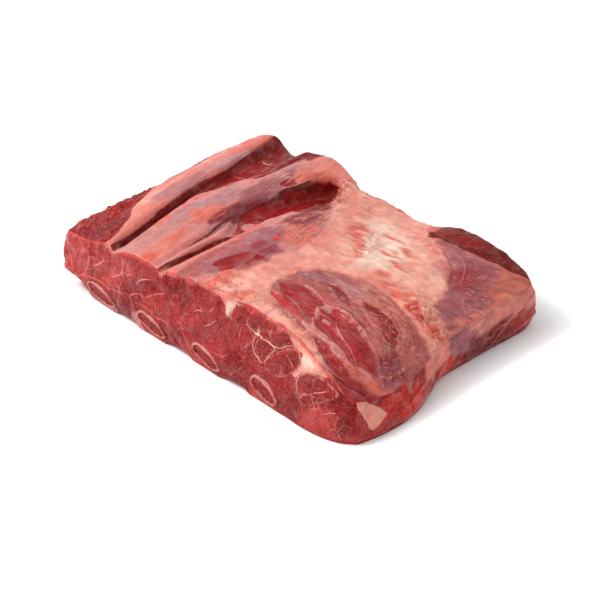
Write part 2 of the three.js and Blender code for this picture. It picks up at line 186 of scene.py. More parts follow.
bands = [([(-92, -88), (-40, -98), (0, -104), (50, -107), (94, -107)], 11, 3.5),  # path, half width, crown
         ([(-92, -62), (-20, -66), (20, -64), (60, -57), (94, -55)], 16, 3.5),
         ([(-92, -18), (-30, -14), (20, -12), (60, -2)], 16, 2)]
mounds = [((-71, 76), (5, 24), 3), ((84, 82), (42, 12), 2.5)]  # centre, reach, rise
strips = {"centre": (78, -50), "reach": (40, 24), "spacing": 13, "slope": 0.16, "height": 1.1}


def furrowDepth(furrow, x, y):
    return curve(furrow["depth"], y) * hump(x - curve(furrow["path"], y), furrow["halfWidth"])


def troughDepth(trough, x, y):
    left, right = curve(trough["left"], y), curve(trough["right"], y)
    down = smooth(left - curve(trough["wall"], y), left + 1, x)
    up = smooth(mix(left, right, trough["lean"]), right + 1, x)
    return curve(trough["depth"], y) * down * (1 - up)


def plainHeight(x, y):
    along = np.array(slab["along"], float)
    profile = np.array([through(along, np.array(row, float), y) for row in slab["heights"]])
    height = through(np.array(slab["across"], float), profile, x)
    for path, reach, crown in bands:
        height = height + crown * hump(x - curve(path, y), reach)
    for centre, reach, rise in mounds:
        height = height + rise * hump(x - centre[0], reach[0]) * hump(y - centre[1], reach[1])
    return height


def uncutHeight(x, y):
    dx, dy = x - strips["centre"][0], y - strips["centre"][1]
    wave = np.cos(2 * np.pi * (dy + strips["slope"] * dx) / strips["spacing"])
    ridges = strips["height"] * wave * hump(dx, strips["reach"][0]) * hump(dy, strips["reach"][1])
    return plainHeight(x, y) + ridges


def cutDepth(x, y):
    return np.maximum.reduce([
        furrowDepth(firstFurrow, x, y) + troughDepth(firstTrough, x, y), troughDepth(pocket, x, y),
        furrowDepth(secondFurrow, x, y), furrowDepth(ridgeCrease, x, y)])


# The faces of the slab: four walls, the underside and the top.
frontPart, rightPart, backPart, leftPart, underPart, topPart = range(6)


def columnsAt(y):
    # x of every grid column along rows at y: the columns follow the furrows
    furrow, crease = curve(firstFurrow["path"], y), curve(ridgeCrease["path"], y)
    pocketLeft, pocketRight = curve(pocket["left"], y), curve(pocket["right"], y)
    guides = [furrow - 4.5, furrow - 1.3, furrow + 1.3, furrow + 4.5,
              np.maximum(furrow + 7, curve(firstTrough["right"], y)), crease - 3.5, crease - 0.5,
              pocketLeft - 1.5, pocketLeft + 1.5, pocketRight - 1, pocketRight + 2.5,
              curve(slab["rim"]["right"], y)]
    coarse = [7, 1, 1, 1, 3, 6, 1, 2, 1, 3, 1, 22]
    previous = curve(slab["rim"]["left"], y)
    columns = [previous]
    for guide, count, least in zip(guides, slab["columnsPerGuide"], coarse):
        here = np.maximum(guide, previous + slab["narrowest"] * least)
        columns += [mix(previous, here, k / count) for k in range(1, count)] + [here]
        previous = here
    return np.array(columns).T


ribs = {
    # each bar: x at the front, half width, half height, tilt in degrees
    "bars": [(-91, 13.8, 6.4, 12), (-43, 12.8, 6.4, 20), (7, 12.6, 6.3, 20), (57, 12.2, 6.3, 22)],
    "slant": -0.03, "height": 9, "cortex": 2.1, "proud": 0.4, "recess": 0.7, "gap": 0.3, "overrun": 9,
    "sides": 72, "steps": 26, "oval": 0.035, "knobs": 0.02, "sawMarks": 0.12,
    # the hard rim's sawn end: share of the way in, and how far it stands out
    "edge": [(0, -1.0), (0.06, -0.25), (0.22, 0.0), (0.5, 0.05), (0.78, 0.0), (0.94, -0.25), (1, -1.0)],
    "pitRings": 12, "pits": 0.3, "worn": 0.25,
}
outwards = {"front": -1, "back": 1}  # which way along y each sawn face looks


def ribX(bar, y):
    return bar[0] + ribs["slant"] * (y + slab["halfWidth"])


def footHeight(x, y):
    nearest = np.min([np.abs(x - ribX(bar, y)) for bar in ribs["bars"]], axis=0)
    under = slab["underside"]
    hollow = smooth(under["flat"], under["flat"] + under["fade"], nearest)
    return under["lift"] * hollow * (1 - smooth(under["lastHollow"], under["lastHollow"] + under["fade"], x))


def standOut(bulge, foot, tuck, w):
    return bulge * 4 * w * (1 - w) + foot * w ** 1.4 - tuck * smooth(slab["tuckFrom"], 1, w)


def eased(values, spacing):
    # evens values out round the closed rim
    for _ in range(int(2 * (slab["cornerEase"] / spacing) ** 2)):
        values = (np.roll(values, 1) + 2 * values + np.roll(values, -1)) / 4
    return values


def topGrid():
    # the points of the top in rows along the ribs, before the rim is moved
    rows, halfWidth = slab["rows"], slab["halfWidth"]
    share = np.arange(rows + 1) / rows
    x = columnsAt(mix(-halfWidth, halfWidth, share))
    y = mix(curve(slab["rim"]["front"], x), curve(slab["rim"]["back"], x), share[:, None])
    flatX, flatY = x.ravel(), y.ravel()
    z = (uncutHeight(flatX, flatY) - cutDepth(flatX, flatY)).reshape(x.shape)
    return np.stack([x, y, z], -1)


def rimNormals(rim):
    # which way the wall stands out at each point of the rim
    reach = slab["normalReach"]
    chord = np.roll(rim, -reach, 0) - np.roll(rim, reach, 0)
    normal = np.stack([chord[:, 1], -chord[:, 0]], -1)
    return normal / np.linalg.norm(normal, axis=1)[:, None]


def wallShapes(rim, sides):
    # bulge, foot and tuck of the walls all round the rim, evened at the corners
    spacing = np.linalg.norm(np.roll(rim, -1, 0) - rim, axis=1).mean()
    shape = []
    for key in ("bulge", "foot", "tuck"):
        values = np.zeros(len(rim))
        for side, (name, axis) in enumerate([("front", 0), ("right", 1), ("back", 0), ("left", 1)]):
            mine = sides == side
            values[mine] = curve(slab["walls"][name][key], rim[mine, axis])
        shape.append(eased(values, spacing))
    return shape


def wallRings(rim, sides):
    # rings of points from the rim down to the foot
    shape, normal = wallShapes(rim, sides), rimNormals(rim)
    start = cutDepth(rim[:, 0], rim[:, 1]) / uncutHeight(rim[:, 0], rim[:, 1])
    rings = []
    for w in np.arange(slab["wallRows"] + 1) / slab["wallRows"]:
        place = rim[:, :2] + normal * standOut(*shape, mix(start, 1, w))[:, None]
        low = footHeight(place[:, 0], place[:, 1])
        rings.append(np.column_stack([place, mix(rim[:, 2], low, w)]))
    return rings


def underLanes(places, foot, nx):
    # lanes of points from the front foot to the back foot, bowed like the feet of the end walls
    rows, footRows = slab["rows"], slab["footRows"]
    each = rows // footRows
    front, back = foot[:nx + 1], foot[nx + rows:2 * nx + rows + 1][::-1]
    right, left = foot[nx:nx + rows + 1], np.append(foot[2 * nx + rows:], foot[0])[::-1]
    lanes = np.zeros((nx + 1, footRows + 1), int)
    lanes[:, 0], lanes[:, -1] = front, back
    inner = np.arange(1, footRows) / footRows
    ends = places[front[1:-1]][:, None, :2], places[back[1:-1]][:, None, :2]
    place = mix(ends[0], ends[1], inner[None, :, None])
    bows = []
    for side in (left, right):
        straight = mix(places[side[0], 0], places[side[-1], 0], inner)
        bows.append(places[side[each:-1:each], 0] - straight)
    place[..., 0] += mix(bows[0], bows[1], np.arange(1, nx)[:, None] / nx)
    under = np.concatenate([place, footHeight(place[..., 0], place[..., 1])[..., None]], -1)
    lanes[1:-1, 1:-1] = len(places) + np.arange((nx - 1) * (footRows - 1)).reshape(nx - 1, footRows - 1)
    return lanes, under.reshape(-1, 3), left, right


def slabFaces(grid, ringIndex, lanes, left, right):
    # top, walls and underside, and the fans that close the underside at both ends
    quads = [np.stack([grid[:-1, :-1], grid[:-1, 1:], grid[1:, 1:], grid[1:, :-1]], -1).reshape(-1, 4)]
    for upper, lower in zip(ringIndex, ringIndex[1:]):
        quads.append(np.stack([upper, lower, np.roll(lower, -1), np.roll(upper, -1)], -1))
    flat = lanes[1:-1]
    quads.append(np.stack([flat[:-1, :-1], flat[:-1, 1:], flat[1:, 1:], flat[1:, :-1]], -1).reshape(-1, 4))
    faces = np.vstack(quads).tolist()
    each = slab["rows"] // slab["footRows"]
    for j in range(slab["footRows"]):
        edge = slice(j * each, (j + 1) * each + 1)
        faces.append([lanes[-2, j], lanes[-2, j + 1], *right[edge][::-1]])
        faces.append([lanes[1, j + 1], lanes[1, j], *left[edge]])
    return faces


def makeSlab():
    # points, faces, the part each point is on, its share of the way down a wall, and the top's grid
    top = topGrid()
    rows, nx, wallRows = slab["rows"], top.shape[1] - 1, slab["wallRows"]
    grid = np.arange(top.shape[0] * top.shape[1]).reshape(top.shape[:2])
    # the rim, counter-clockwise from the front left corner, and the wall each point belongs to
    loop = np.concatenate([grid[0, :nx], grid[:rows, nx], grid[rows, nx:0:-1], grid[rows:0:-1, 0]])
    sides = np.repeat([0, 1, 2, 3], [nx, rows, nx, rows])
    points = top.reshape(-1, 3)
    rings = wallRings(points[loop], sides)
    points[loop] = rings[0]
    ringIndex = [loop] + [grid.size + row * len(loop) + np.arange(len(loop)) for row in range(wallRows)]
    places = np.vstack([points, *rings[1:]])
    lanes, under, left, right = underLanes(places, ringIndex[-1], nx)
    faces = slabFaces(grid, ringIndex, lanes, left, right)
    places = np.vstack([places, under])
    part = np.full(len(places), underPart)
    down = np.ones(len(places))
    part[:grid.size], down[:grid.size] = topPart, 0
    for row, index in enumerate(ringIndex[1:], 1):
        part[index], down[index] = sides, row / wallRows
    part[ringIndex[-1]] = underPart
    return places, faces, part, down, grid


# Paint: tones are what the eye sees under soft light, and each face of the slab takes patches and
# streaks drawn in its own two coordinates, in millimetres.
tones = {
    "muscle": (170, 60, 62), "muscleDeep": (151, 43, 45), "muscleDark": (128, 33, 37), "mound": (112, 27, 31),
    "muscleBright": (199, 69, 72), "shadowRed": (105, 22, 25), "brown": (138, 62, 70),
    "salmon": (226, 142, 128), "salmonPink": (216, 145, 139), "palePink": (236, 168, 150),
    "fat": (236, 164, 146), "fatPale": (241, 178, 158), "fatWhite": (248, 224, 202),
    "orange": (222, 124, 107), "orangeRed": (222, 108, 90), "bloodRed": (206, 64, 57),
    "mauve": (187, 134, 134), "mauveRed": (176, 96, 96), "lilac": (204, 156, 159),
    "violet": (166, 104, 110), "purple": (152, 68, 78), "greyPink": (202, 143, 137),
    "fascia": (189, 106, 101), "beige": (203, 124, 108), "seam": (224, 128, 116), "marble": (232, 172, 160),
    # the rim tones: the trimmed edge's own red and pale, lightened as a painted highlight
    "lobe": (154, 54, 56), "lobeSkin": (222, 132, 120), "rimRedAndHighlight": (208, 74, 72), "rimPaleAndHighlight": (236, 140, 126),
    # the darkest cut tone is painted shade, drawn in the grooves between muscles
    "cut": (165, 57, 58), "cutDark": (142, 42, 45), "cutBright": (184, 73, 71), "cutCreaseShade": (108, 27, 31),
}


def linear(colour):
    c = np.array(colour, float) / 255
    return np.where(c <= 0.04045, c / 12.92, ((c + 0.055) / 1.055) ** 2.4)


def pigment(colour):
    # the flesh itself is deeper than it looks, since soft light lays a thin veil over it
    return np.maximum(linear(colour) * np.array([0.74, 0.64, 0.64]) - np.array([0, 0.012, 0.012]), 0.003)


def gapTo(points, line, closed):
    # distance to a line, negative inside a closed one
    starts, ends = (line, np.roll(line, -1, 0)) if closed else (line[:-1], line[1:])
    best, inside = np.full(len(points), 1e9), np.zeros(len(points), bool)
    for a, b in zip(starts, ends):
        step, away = b - a, points - a
        t = np.clip(away @ step / (step @ step + 1e-9), 0, 1)
        best = np.minimum(best, ((away - t[:, None] * step) ** 2).sum(1))
        if closed:
            crosses = (a[1] > points[:, 1]) != (b[1] > points[:, 1])
            where = a[0] + step[0] * (points[:, 1] - a[1]) / (step[1] if step[1] else 1e-9)
            inside ^= crosses & (points[:, 0] < where)
    return np.where(inside, -np.sqrt(best), np.sqrt(best))


def sidesOf(points, line):
    # distance to an open line, the same with a sign for its side, and how far along it is, 0 to 1
    best = np.full(len(points), 1e9)
    signed, along = np.zeros(len(points)), np.zeros(len(points))
    for k, (a, b) in enumerate(zip(line[:-1], line[1:])):
        step, away = b - a, points - a
        t = np.clip(away @ step / (step @ step + 1e-9), 0, 1)
        gap = np.sqrt(((away - t[:, None] * step) ** 2).sum(1))
        nearer = gap < best
        side = np.sign(step[0] * away[:, 1] - step[1] * away[:, 0])
        best[nearer], signed[nearer] = gap[nearer], (gap * side)[nearer]
        along[nearer] = ((k + t) / (len(line) - 1))[nearer]
    return best, signed, along


farOff = 9.0  # mm: a distance that no crisp patch or line reaches
lobeLook = {"shrunk": 0.06, "ragged": 0.3, "skinLift": 0.2, "lift": 0.9}


class Face:
    # One face of the slab while it is painted. Soft patches go straight into its tone; a crisp patch is
    # kept as a second tone with the distance to its edge, a line as its tone, its distance with and
    # without a sign, and its half width, so that the finish can draw both finer than the mesh.

    def __init__(self, uv, ground, wobble):
        count = len(uv)
        self.uv, self.wobble = uv, wobble
        self.tone = np.tile(pigment(tones[ground]), (count, 1))
        self.over = np.column_stack([self.tone, np.full(count, farOff)])
        self.lineTone = np.tile(pigment(tones["seam"]), (count, 1))
        self.line = np.tile([farOff, farOff, 0.0], (count, 1))
        self.lift = np.zeros(count)

    def near(self, line, margin):
        return np.flatnonzero(np.all((self.uv > line.min(0) - margin) & (self.uv < line.max(0) + margin), 1))

    def patch(self, tone, outline, soft=1.5, ragged=1.0, lift=0.0):
        line = rounded(outline)
        near = self.near(line, soft + 3 * ragged + 4)
        gap = gapTo(self.uv[near] + ragged * self.wobble[near], line, True)
        mask = smooth(max(soft, 0.8), -max(soft, 0.8), gap)
        self.lift[near] += lift * mask
        if soft > crisp:
            self.tone[near] += (pigment(tones[tone]) - self.tone[near]) * mask[:, None]
            self.over[near, :3] += (pigment(tones[tone]) - self.over[near, :3]) * mask[:, None]
            return
        take = (gap < 0) | (gap < self.over[near, 3])
        self.over[near[take]] = np.column_stack([np.tile(pigment(tones[tone]), (take.sum(), 1)), gap[take]])

    def streak(self, tone, path, width, lift=0.0):
        line = rounded(path, closed=False)
        near = self.near(line, width + 5)
        gap, signed, along = sidesOf(self.uv[near] + 0.5 * self.wobble[near], line)
        half = width / 2 * (1 - np.abs(2 * along - 1) ** 3)
        self.lift[near] += lift * smooth(width / 2 + 1, 0, gap)
        take = gap - half < self.line[near, 1] - self.line[near, 2]
        self.line[near[take]] = np.column_stack([signed, gap, half])[take]
        self.lineTone[near[take]] = pigment(tones[tone])


# Outlines used both for a kind of surface and for its tone.
bandsOutline = [(-150, -110), (0, -110), (-2, -60), (5, -35), (10, -12), (8, 10), (0, 30), (-12, 48),
                (-16, 58), (-22, 70), (-31, 84), (-34, 110), (-150, 110)]
bareOutline = [(-150, -110), (-92, -110), (-89, -82), (-90, -72), (-94, -62), (-98, -52), (-104, -45),
               (-109, -35), (-113, -25), (-118, -12), (-121, -2), (-150, 8)]

# The top in plan. A patch: tone, softness, raggedness, lift, outline; a streak: tone, width, lift, path.
topPaint = {
    "ground": "fat",
    # outlines of the kinds of surface on the top, which is fat elsewhere
    "zones": {
        "bands": bandsOutline,
        "hollow": [(-46, -8), (-39, -17), (-34, -25), (-30, -21), (-28, -5), (-26, 14), (-22, 26),
         (-14, 29), (-12, 42), (-18, 51), (-30, 54), (-32, 62), (-35, 77), (-41, 72), (-45, 55), (-48, 30),
         (-50, 5)],
        "bare": bareOutline,
        "window": [(31, -22), (45, -10), (70, -3), (100, -9), (126, -14), (150, -20), (150, -110),
         (108, -110), (102, -82), (86, -73), (66, -69), (46, -65), (31, -56), (27, -40)],
        "backRight": [(41, 112), (42, 84), (48, 74), (60, 67), (80, 56), (90, 45), (97, 30), (104, 14),
         (116, 8), (150, 6), (150, 110)],
    },
    "patches": [
        ("salmonPink", 2, 1, 0, bandsOutline),
        # first band
        ("salmon", 1.5, 1, 0, [(-89, -90), (-89, -72), (-94, -62), (-98, -52), (-104, -45), (-109, -35),
         (-113, -25), (-118, -12), (-124, 0), (-126, 40), (-124, 96), (-98, 96), (-97, 60), (-95, 30),
         (-93, 0), (-90, -30), (-85, -60), (-82, -90)]),
        ("palePink", 3, 1.5, 0.3, [(-112, -34), (-106, -38), (-100, -33), (-99, -24), (-103, -19),
         (-110, -22)]),
        ("mauve", 1.5, 0.8, -0.3, [(-104, -27), (-97, -28), (-95, -10), (-96, 5), (-97, 18), (-102, 20),
         (-104, 8), (-105, -8)]),
        ("mauveRed", 2, 1.5, 0, [(-130, -6), (-118, -4), (-115, 8), (-114, 22), (-117, 38), (-130, 40)]),
        ("lilac", 1.5, 0.8, 0, [(-104, 20), (-101, 21), (-98, 40), (-98, 62), (-101, 66), (-104, 44)]),
        ("orange", 3, 2, 0, [(-124, 42), (-106, 48), (-102, 70), (-101, 96), (-124, 96)]),
        # bare coarse muscle at the left
        ("muscleDeep", 0.8, 0.8, -0.5, bareOutline),
        ("muscleDark", 2, 2, 0, [(-112, -77), (-104, -76), (-98, -66), (-100, -56), (-108, -60)]),
        # second band
        ("salmonPink", 3, 1.5, 0, [(-81, -84), (-70, -84), (-74, -50), (-78, -30), (-84, -5), (-90, 3),
         (-92, -10), (-89, -30), (-85, -50)]),
        ("mauve", 4, 2, 0, [(-76, -42), (-66, -44), (-60, -30), (-58, -10), (-60, 10), (-70, 14), (-77, 0),
         (-80, -20)]),
        ("greyPink", 4, 2, 0, [(-78, -84), (-60, -84), (-60, -60), (-64, -46), (-76, -44), (-80, -60)]),
        ("salmon", 5, 3, 0, [(-60, -40), (-52, -46), (-47, -60), (-45, -84), (-66, -84), (-62, -72),
         (-58, -58)]),
        ("orange", 3, 3, 0, [(-58, -44), (-53, -48), (-50, -60), (-54, -66), (-58, -56)]),
        ("orangeRed", 1.5, 2, 0.2, [(-52, -70), (-48, -76), (-50, -83), (-56, -80)]),
        ("orange", 1.2, 1, 0.5, [(-79, -49), (-76, -50), (-75, -40), (-77, -34), (-80, -38)]),
        ("orange", 1, 0.8, 0.4, [(-85, -9), (-80, -6), (-77, 3), (-81, 2), (-84, -4)]),
        ("orangeRed", 1.2, 1, 0.3, [(-82, -23), (-79, -22), (-78, -17), (-81, -16)]),
        ("orange", 1.5, 1.5, 0.5, [(-71, -24), (-66, -12), (-61, -6), (-56, -8), (-54, -17), (-56, -27),
         (-60, -36), (-66, -30)]),
        ("brown", 1.5, 1, 0, [(-56, -20), (-50, -26), (-46, -14), (-46, 8), (-48, 24), (-54, 20),
         (-57, 2)]),
        ("mauve", 3, 2, 0, [(-76, 4), (-64, 0), (-59, 14), (-60, 34), (-70, 36), (-78, 20)]),
        ("salmonPink", 2.5, 2, 0, [(-74, 20), (-66, 20), (-62, 30), (-66, 35), (-73, 30)]),
        ("lilac", 2, 2, 0, [(-74, 36), (-68, 36), (-63, 54), (-62, 66), (-66, 64), (-70, 50)]),
        ("violet", 2, 2, 0, [(-63, 12), (-54, 8), (-49, 24), (-48, 44), (-55, 50), (-61, 36)]),
        ("muscleDeep", 0.9, 0.8, -0.8, [(-54, 42), (-50, 40), (-47, 46), (-47, 53), (-51, 57), (-54, 50)]),
        ("violet", 1.5, 2, -0.5, [(-62, 54), (-56, 51), (-52, 60), (-52, 72), (-57, 77), (-61, 68)]),
        ("muscleDark", 1.5, 1.5, -0.6, [(-66, 80), (-60, 77), (-56, 84), (-57, 98), (-67, 98)]),
        ("salmon", 2, 2, 0.4, [(-60, 62), (-47, 56), (-41, 72), (-32, 82), (-24, 98), (-58, 98)]),
        ("orange", 1.5, 1.5, 0.6, [(-52, 54), (-46, 52), (-43, 66), (-38, 78), (-44, 79), (-50, 66)]),
        # furrow walls: the muscle's own dark red, deepened as painted shade down the walls
        ("muscleDark", 0.9, 0.5, 0, [(-84, -96), (-78.5, -96), (-81, -62), (-86, -34), (-91, -8), (-93, 14),
         (-97, 14), (-96, -6), (-92.5, -26), (-88.5, -46), (-86, -64)]),
        ("muscleDark", 0.9, 0.5, 0, [(-42, -96), (-37.5, -96), (-36, -72), (-34, -54), (-32.5, -36),
         (-30.5, -24), (-33.5, -20), (-36, -34), (-38.5, -54), (-41, -74)]),
        # first trough
        ("muscleDeep", 1.2, 1.2, 0, [(-97, 11), (-92, 9), (-85, 8), (-76, 20), (-70, 33), (-67, 45),
         (-67, 100), (-103, 100), (-101, 80), (-99, 55), (-97.5, 35)]),
        ("muscleDark", 2.5, 2, 0, [(-81, 60), (-68, 58), (-67, 98), (-86, 98)]),
        ("muscleDark", 3, 1.5, 0, [(-100, 62), (-91, 60), (-86, 98), (-102, 98)]),
        # pocket
        ("muscleDeep", 1, 0.8, 0, [(-46, -8), (-39, -17), (-34, -25), (-30, -21), (-28, -5), (-31, 10),
         (-32, 25), (-31, 45), (-32, 62), (-35, 77), (-41, 72), (-45, 55), (-48, 30), (-50, 5)]),
        ("muscleDeep", 1.5, 1.5, -0.4, [(-33, 25), (-22, 25), (-14, 29), (-12, 42), (-18, 51), (-28, 51),
         (-33, 46)]),
        ("muscleDark", 1.5, 1, 0, [(-21, 30), (-15, 32), (-14, 44), (-20, 46)]),
        ("purple", 2, 2, 0, [(-18, 5), (-8, 1), (-3, 14), (-5, 28), (-13, 31), (-20, 20)]),
        ("salmonPink", 1, 0.8, 0.4, [(-43, -6), (-38, -10), (-33, -6), (-31, 0), (-36, 3), (-41, 0)]),
        ("orange", 1.5, 2, 1, [(-32, 50), (-24, 48), (-16, 55), (-22, 68), (-30, 81), (-33, 77),
         (-30, 62)]),
        # ridge and third band
        ("salmonPink", 1, 0.8, 0.4, [(-44, -84), (-41, -84), (-39, -55), (-37, -35), (-35, -24), (-39, -20),
         (-44, -26), (-45, -40), (-45, -60)]),
        ("mauve", 1.5, 1, -0.3, [(-51, -31), (-46, -33), (-45, -22), (-49, -18)]),
        ("salmon", 2.5, 1.5, 0, [(-37, -84), (-29, -84), (-26, -60), (-26, -35), (-31, -22), (-35, -34),
         (-37, -60)]),
        ("mauveRed", 3, 2, 0, [(-27, -82), (-12, -82), (-9, -66), (-14, -50), (-12, -32), (-22, -26),
         (-26, -45)]),
        ("orange", 2.5, 2.5, 0, [(-34, -26), (-24, -31), (-18, -20), (-20, -7), (-30, -5)]),
        ("violet", 3, 2, 0, [(-24, -26), (-8, -31), (-2, -20), (-4, -4), (-16, 0), (-24, -8)]),
        ("violet", 2, 1.5, 0, [(-20, -70), (-2, -68), (2, -50), (8, -34), (-6, -29), (-16, -40)]),
        ("muscleDeep", 0.8, 0.7, -0.7, [(-15, -60), (-9, -63), (-3, -62), (-1, -50), (4, -35), (0, -34),
         (-7, -36), (-12, -46)]),
        ("purple", 2, 1.5, 0, [(-12, -34), (0, -33), (6, -22), (-2, -19), (-12, -24)]),
        ("orange", 2.5, 2.5, 0, [(-14, -2), (2, -12), (8, 2), (4, 18), (-4, 24), (-8, 8)]),
        ("bloodRed", 1, 1, 0, [(-10, -15), (-6, -15), (-5, -10), (-9, -9)]),
        # fat cover
        ("fatPale", 5, 3, 0.5, [(4, -72), (30, -68), (31, -50), (26, -43), (10, -46), (3, -58)]),
        ("orange", 2.5, 3, 0.5, [(-4, -78), (6, -79), (6, -62), (-2, -58)]),
        ("orange", 3, 3, 0.4, [(18, -79), (36, -77), (37, -70), (22, -68)]),
        ("fatPale", 7, 4, 0, [(4, 60), (20, 66), (38, 60), (52, 50), (68, 36), (68, 14), (50, 6), (34, 4),
         (22, 22), (8, 42)]),
        ("fatPale", 8, 4, 0, [(60, 56), (78, 48), (92, 30), (98, 12), (86, 10), (70, 22), (60, 40)]),
        ("fatPale", 6, 4, 0, [(-8, 62), (6, 78), (20, 84), (34, 80), (30, 72), (10, 66)]),
        ("fatWhite", 11, 5, 0.6, [(10, 58), (22, 64), (38, 58), (52, 48), (64, 32), (64, 18), (52, 10),
         (38, 12), (30, 26), (22, 40), (12, 48)]),
        ("fatWhite", 7, 4, 0.3, [(22, 28), (46, 24), (54, 42), (30, 50)]),
        ("fatPale", 9, 4, 0, [(60, 30), (80, 22), (94, 18), (90, 36), (72, 46)]),
        ("orange", 3, 4, -0.3, [(8, 46), (14, 34), (22, 28), (25, 35), (17, 47)]),
        ("orange", 3, 4, -0.3, [(23, 30), (29, 19), (36, 12), (37, 21), (30, 31)]),
        ("orange", 2, 3, 0, [(28, 51), (37, 47), (46, 50), (38, 52)]),
        ("orange", 2, 3, 0, [(46, 43), (56, 40), (60, 44), (52, 46)]),
        ("orange", 2, 1.5, 0, [(9, 84), (15, 83), (17, 89), (11, 90)]),
        ("orange", 2, 2, 0, [(58, 8), (64, 8), (66, 14), (60, 15)]),
        ("greyPink", 6, 3, 0, [(74, 44), (86, 40), (92, 48), (84, 56), (76, 54)]),
        ("orange", 3, 3, 0.3, [(82, 0), (96, -4), (110, -6), (118, 2), (106, 8), (90, 10)]),
        ("fatPale", 4, 3, 0.3, [(88, 22), (98, 18), (104, 4), (96, 2), (88, 10)]),
        ("orangeRed", 2, 2, -0.3, [(84, 6), (90, 6), (92, 10), (86, 11)]),
        ("orange", 1.8, 3, -0.3, [(38, 30), (44, 28), (53, 33), (54, 36), (44, 33)]),
        ("orange", 1.8, 3, -0.3, [(54, 27), (63, 25), (70, 29), (62, 30)]),
        ("bloodRed", 1.6, 1.5, -0.4, [(92, -2), (97, -4), (99, 2), (95, 8), (92, 5)]),
        ("orangeRed", 1.8, 2, -0.3, [(78, 2), (84, -2), (88, 2), (82, 7)]),
        ("orange", 3, 2.5, -0.2, [(66, 2), (76, -1), (78, 6), (70, 9)]),
        ("bloodRed", 1.5, 1.5, -0.2, [(101, -4), (107, -4), (108, 0), (102, 0)]),
        ("bloodRed", 1.5, 1.5, 0, [(111, -2), (116, -2), (117, 2), (112, 2)]),
        # window of muscle strips
        ("fascia", 1.5, 1.5, 0, [(31, -22), (45, -10), (70, -3), (100, -8), (126, -12), (150, -18),
         (150, -110), (108, -110), (102, -82), (86, -73), (66, -69), (46, -65), (31, -56), (27, -40)]),
        ("beige", 4, 3, 0.4, [(56, -6), (74, -4), (96, -12), (110, -20), (118, -30), (104, -26), (84, -18),
         (66, -20)]),
        ("mauve", 4, 3, 0, [(50, -20), (60, -12), (70, -14), (68, -22), (56, -26)]),
        ("violet", 3, 2, 0, [(30, -38), (33, -26), (40, -16), (52, -14), (50, -22), (40, -32)]),
        ("salmonPink", 1.2, 1, 0.5, [(60, -62), (75, -61), (91, -61), (100, -64), (112, -58), (116, -60),
         (108, -72), (97, -70), (84, -69), (70, -68)]),
        ("muscle", 0.9, 0.6, -0.9, [(29, -47), (34, -43), (41, -37), (52, -37.5), (61, -41), (61, -48),
         (64, -54), (69, -62), (65, -63), (53, -58), (41, -55)]),
        ("muscleBright", 0.8, 0.5, -0.8, [(31, -57), (37, -55), (46, -55), (55, -58), (62, -60), (63, -63),
         (55, -62), (47, -63), (39, -61)]),
        ("muscle", 0.8, 0.6, -1, [(65, -48), (68, -39.5), (76, -39), (88, -41), (99, -45), (110, -49),
         (116, -54), (112, -57), (107, -61), (104, -65), (99, -63), (91, -62), (82, -62), (75, -62),
         (70, -59)]),
        ("muscle", 0.8, 0.6, -0.9, [(76, -67), (82, -66), (89, -67), (97, -68.5), (106, -70), (108, -73),
         (103, -76.5), (98, -76.5), (91, -75), (83, -72)]),
        ("muscleDeep", 0.8, 0.7, -1, [(74, -21), (81, -18), (92, -18.5), (100, -21), (107, -27), (109, -33),
         (102, -33), (93, -29), (84, -26)]),
        ("muscleBright", 1.5, 1, 0, [(82, -24), (90, -25), (98, -29), (103, -32), (97, -31), (88, -28)]),
        ("purple", 1.5, 2, -0.4, [(108, -46), (109, -38), (115, -33), (123, -40), (123, -48), (117, -53)]),
        ("purple", 1.2, 1.5, -0.4, [(44, -27), (54, -22), (64, -24), (70, -29), (60, -29), (50, -29)]),
        ("brown", 1.2, 1.5, -0.4, [(78, -34), (90, -36), (98, -40), (90, -39.5), (80, -37)]),
        ("greyPink", 1.2, 1, 0, [(61, -42), (67, -39), (66, -46), (62, -48)]),
        ("fatPale", 2.5, 2, 0.4, [(30, -66), (46, -70), (66, -73), (86, -77), (98, -84), (60, -84),
         (30, -80)]),
        ("orange", 1.5, 1.5, 0.9, [(100, -66), (112, -62), (120, -57), (127, -50), (129, -54), (120, -63),
         (108, -70)]),
        ("muscle", 2, 2, 0, [(106, -72), (122, -64), (134, -52), (136, -90), (106, -92)]),
        # back right: two muscles and their silverskin
        ("beige", 2, 1.5, 0, [(41, 112), (42, 84), (48, 74), (60, 67), (80, 56), (90, 45), (97, 30),
         (104, 14), (116, 8), (150, 6), (150, 112)]),
        ("violet", 4, 3, 0, [(60, 70), (70, 61), (80, 55), (88, 46), (94, 36), (98, 24), (103, 14),
         (112, 10), (118, 20), (116, 40), (112, 60), (104, 72), (84, 72)]),
        ("purple", 5, 3, 0, [(88, 58), (86, 48), (92, 40), (100, 38), (106, 46), (104, 58), (96, 62)]),
        ("beige", 3, 3, 0, [(108, 62), (114, 54), (124, 56), (126, 84), (112, 84)]),
        ("salmon", 2.5, 2, 0.3, [(117, 8), (121, 6), (123, 30), (124, 60), (120, 58), (118, 34)]),
        ("mound", 1, 1, 0.3, [(48, 70), (54, 69), (62, 70), (76, 71), (86, 72), (96, 74), (106, 77),
         (116, 82), (121, 90), (90, 94), (62, 96), (54, 86)]),
        ("muscleDark", 4, 2, 0, [(52, 73), (66, 73), (84, 76), (82, 80), (62, 80), (54, 78)]),
    ],
    "stringy": [
        [(52, -12), (70, -5), (100, -10), (124, -16), (128, -50), (116, -50), (98, -40), (76, -36),
         (66, -30)],
        [(26, -34), (40, -14), (58, -8), (66, -26), (60, -34), (44, -30), (33, -34)],
        [(58, -58), (68, -62), (92, -64), (106, -66), (104, -72), (86, -69), (66, -66)],
        [(-24, -6), (-6, -2), (4, -14), (10, 4), (2, 26), (-12, 44), (-20, 34), (-22, 12)],
        [(-64, 30), (-54, 30), (-46, 50), (-44, 70), (-54, 72), (-62, 56)],
        [(96, 62), (110, 56), (122, 40), (122, 20), (110, 30), (100, 44)],
    ],
    "crumbled": [
